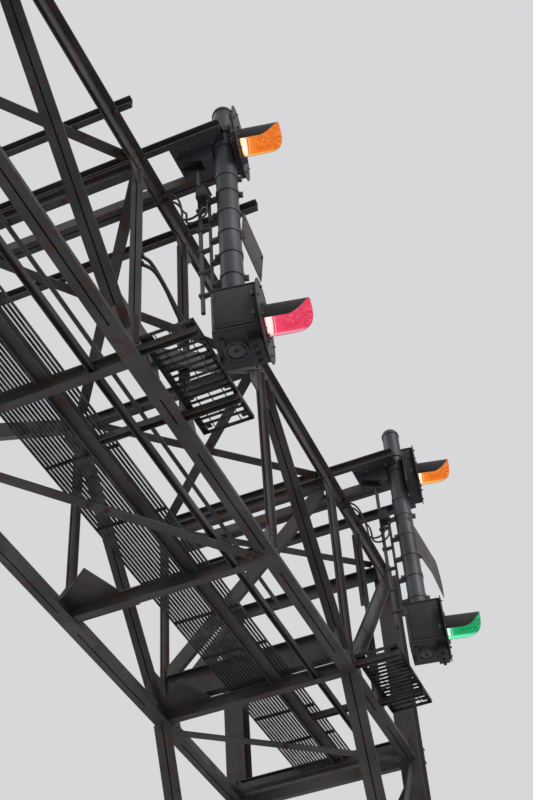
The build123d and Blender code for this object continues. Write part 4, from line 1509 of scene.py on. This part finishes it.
class Stage:
    """The floor, the light and the camera at the photograph's viewing angle."""

    RIGHT = (0.92149, 0.38422, -0.05678)
    UP = (0.30768, -0.63293, 0.71044)
    BACK = (0.23703, -0.67214, -0.70146)
    EYE_PAST_CHORD = 2.755
    EYE_Y = -5.2896
    EYE_HEIGHT = 1.58541
    LENS_MM = 58.8465
    SENSOR_MM = 36.0
    SIGHT = 200.0
    FLOOR = 120.0
    PALE = "#D8D8DA"
    SKY = "#CDCDD0"
    SKY_STRENGTH = 0.75
    LAMP_SPREAD = radians(25.0)
    LAMPS = (("key", 1.5, (58.0, 0.0, 62.0)), ("fill", 0.7, (50.0, 0.0, -70.0)))

    def build(self) -> None:
        """Set the stage."""
        self.set_camera()
        self.lay_floor()
        self.light()

    def set_camera(self) -> None:
        """Put the camera where the photograph was taken from."""
        lens = bpy.data.cameras.new("camera")
        lens.lens, lens.sensor_width, lens.clip_end = self.LENS_MM, self.SENSOR_MM, self.SIGHT
        camera = link("camera", lens)
        eye = (middle_of("front_bottom_chord")[0] + self.EYE_PAST_CHORD, self.EYE_Y, self.EYE_HEIGHT)
        turn = Matrix((self.RIGHT, self.UP, self.BACK)).transposed().to_4x4()
        camera.matrix_world = Matrix.Translation(eye) @ turn
        bpy.context.scene.camera = camera

    def lay_floor(self) -> None:
        """A plain pale floor that keeps the gantry's shadow."""
        Workshop.clear()
        bpy.ops.mesh.primitive_plane_add(size=self.FLOOR, location=(0.0, 0.0, -0.001))
        floor = bpy.context.object
        floor.name = "floor"
        material, tree, shader = new_material("pale_floor")
        feed(tree, shader, {"Base Color": colour(self.PALE), "Roughness": 0.9})
        floor.data.materials.append(material)

    def light(self) -> None:
        """Soft light from a pale sky and two broad lamps."""
        world = bpy.data.worlds.new("studio")
        world.use_nodes = True
        bpy.context.scene.world = world
        tree = world.node_tree
        soft = tree.nodes["Background"]
        feed(tree, soft, {"Color": colour(self.SKY), "Strength": self.SKY_STRENGTH})
        seen = add_node(tree, "Background", "Background", {"Color": colour(self.PALE), "Strength": 1.0})
        path = add_node(tree, "LightPath", 0, {}).node.outputs
        shown = add_node(tree, "Math", "Value", {0: path["Is Camera Ray"], 1: path["Is Glossy Ray"]},
                         operation="MAXIMUM")
        shown = add_node(tree, "Math", "Value", {0: shown, 1: path["Is Transmission Ray"]},
                         operation="MAXIMUM")
        both = add_node(tree, "MixShader", "Shader", {0: shown, 1: soft.outputs["Background"], 2: seen})
        feed(tree, tree.nodes["World Output"], {"Surface": both})
        for name, strength, turn in self.LAMPS:
            lamp = bpy.data.lights.new(name, "SUN")
            lamp.energy, lamp.angle = strength, self.LAMP_SPREAD
            link(name, lamp).rotation_euler = [radians(angle) for angle in turn]
        bpy.context.scene.view_settings.view_transform = "Standard"


def dress_nodes(shop: Workshop) -> None:
    """Give every CAD node that isn't a lens its finish.

    Args:
        shop: Where the finishes are made.
    """
    surfaces = {Slot.STEEL: STEEL, Slot.GRATING: GRATING, Slot.MAST: MAST, Slot.BLACK: BLACK,
                Slot.PLATE: PLATE}
    by_name = {slot.value: shop.finish(surface) for slot, surface in surfaces.items()}
    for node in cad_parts.values():
        for slot in node.material_slots:
            kind = slot.name.split(".")[0]
            if kind in by_name:
                slot.material = by_name[kind]


def main() -> None:
    """Build the stage, the finishes and the pieces, in order."""
    logging.basicConfig(level=logging.INFO, format="%(message)s")
    shop = Workshop()
    Stage().build()
    dress_nodes(shop)
    for side in SIDES:
        TrussSide(side, shop).build()
    TopAndBottom(shop).build()
    for hand in (1, -1):
        for side in SIDES:
            Column(shop, hand, side).build()
    for mast, level, lamp, offset, depth in HEADS:
        SignalHead(shop, mast, level, HeadPlace.on_mast(mast, level, offset), lamp, depth).build()
    for mast in MASTS:
        MastFittings(shop, mast).build()
        Platform(shop, mast).build()
    NearPlate(shop).build()
    Cables(shop).build()
    TowerRivets(shop).build()


if __name__ == "__main__":
    main()
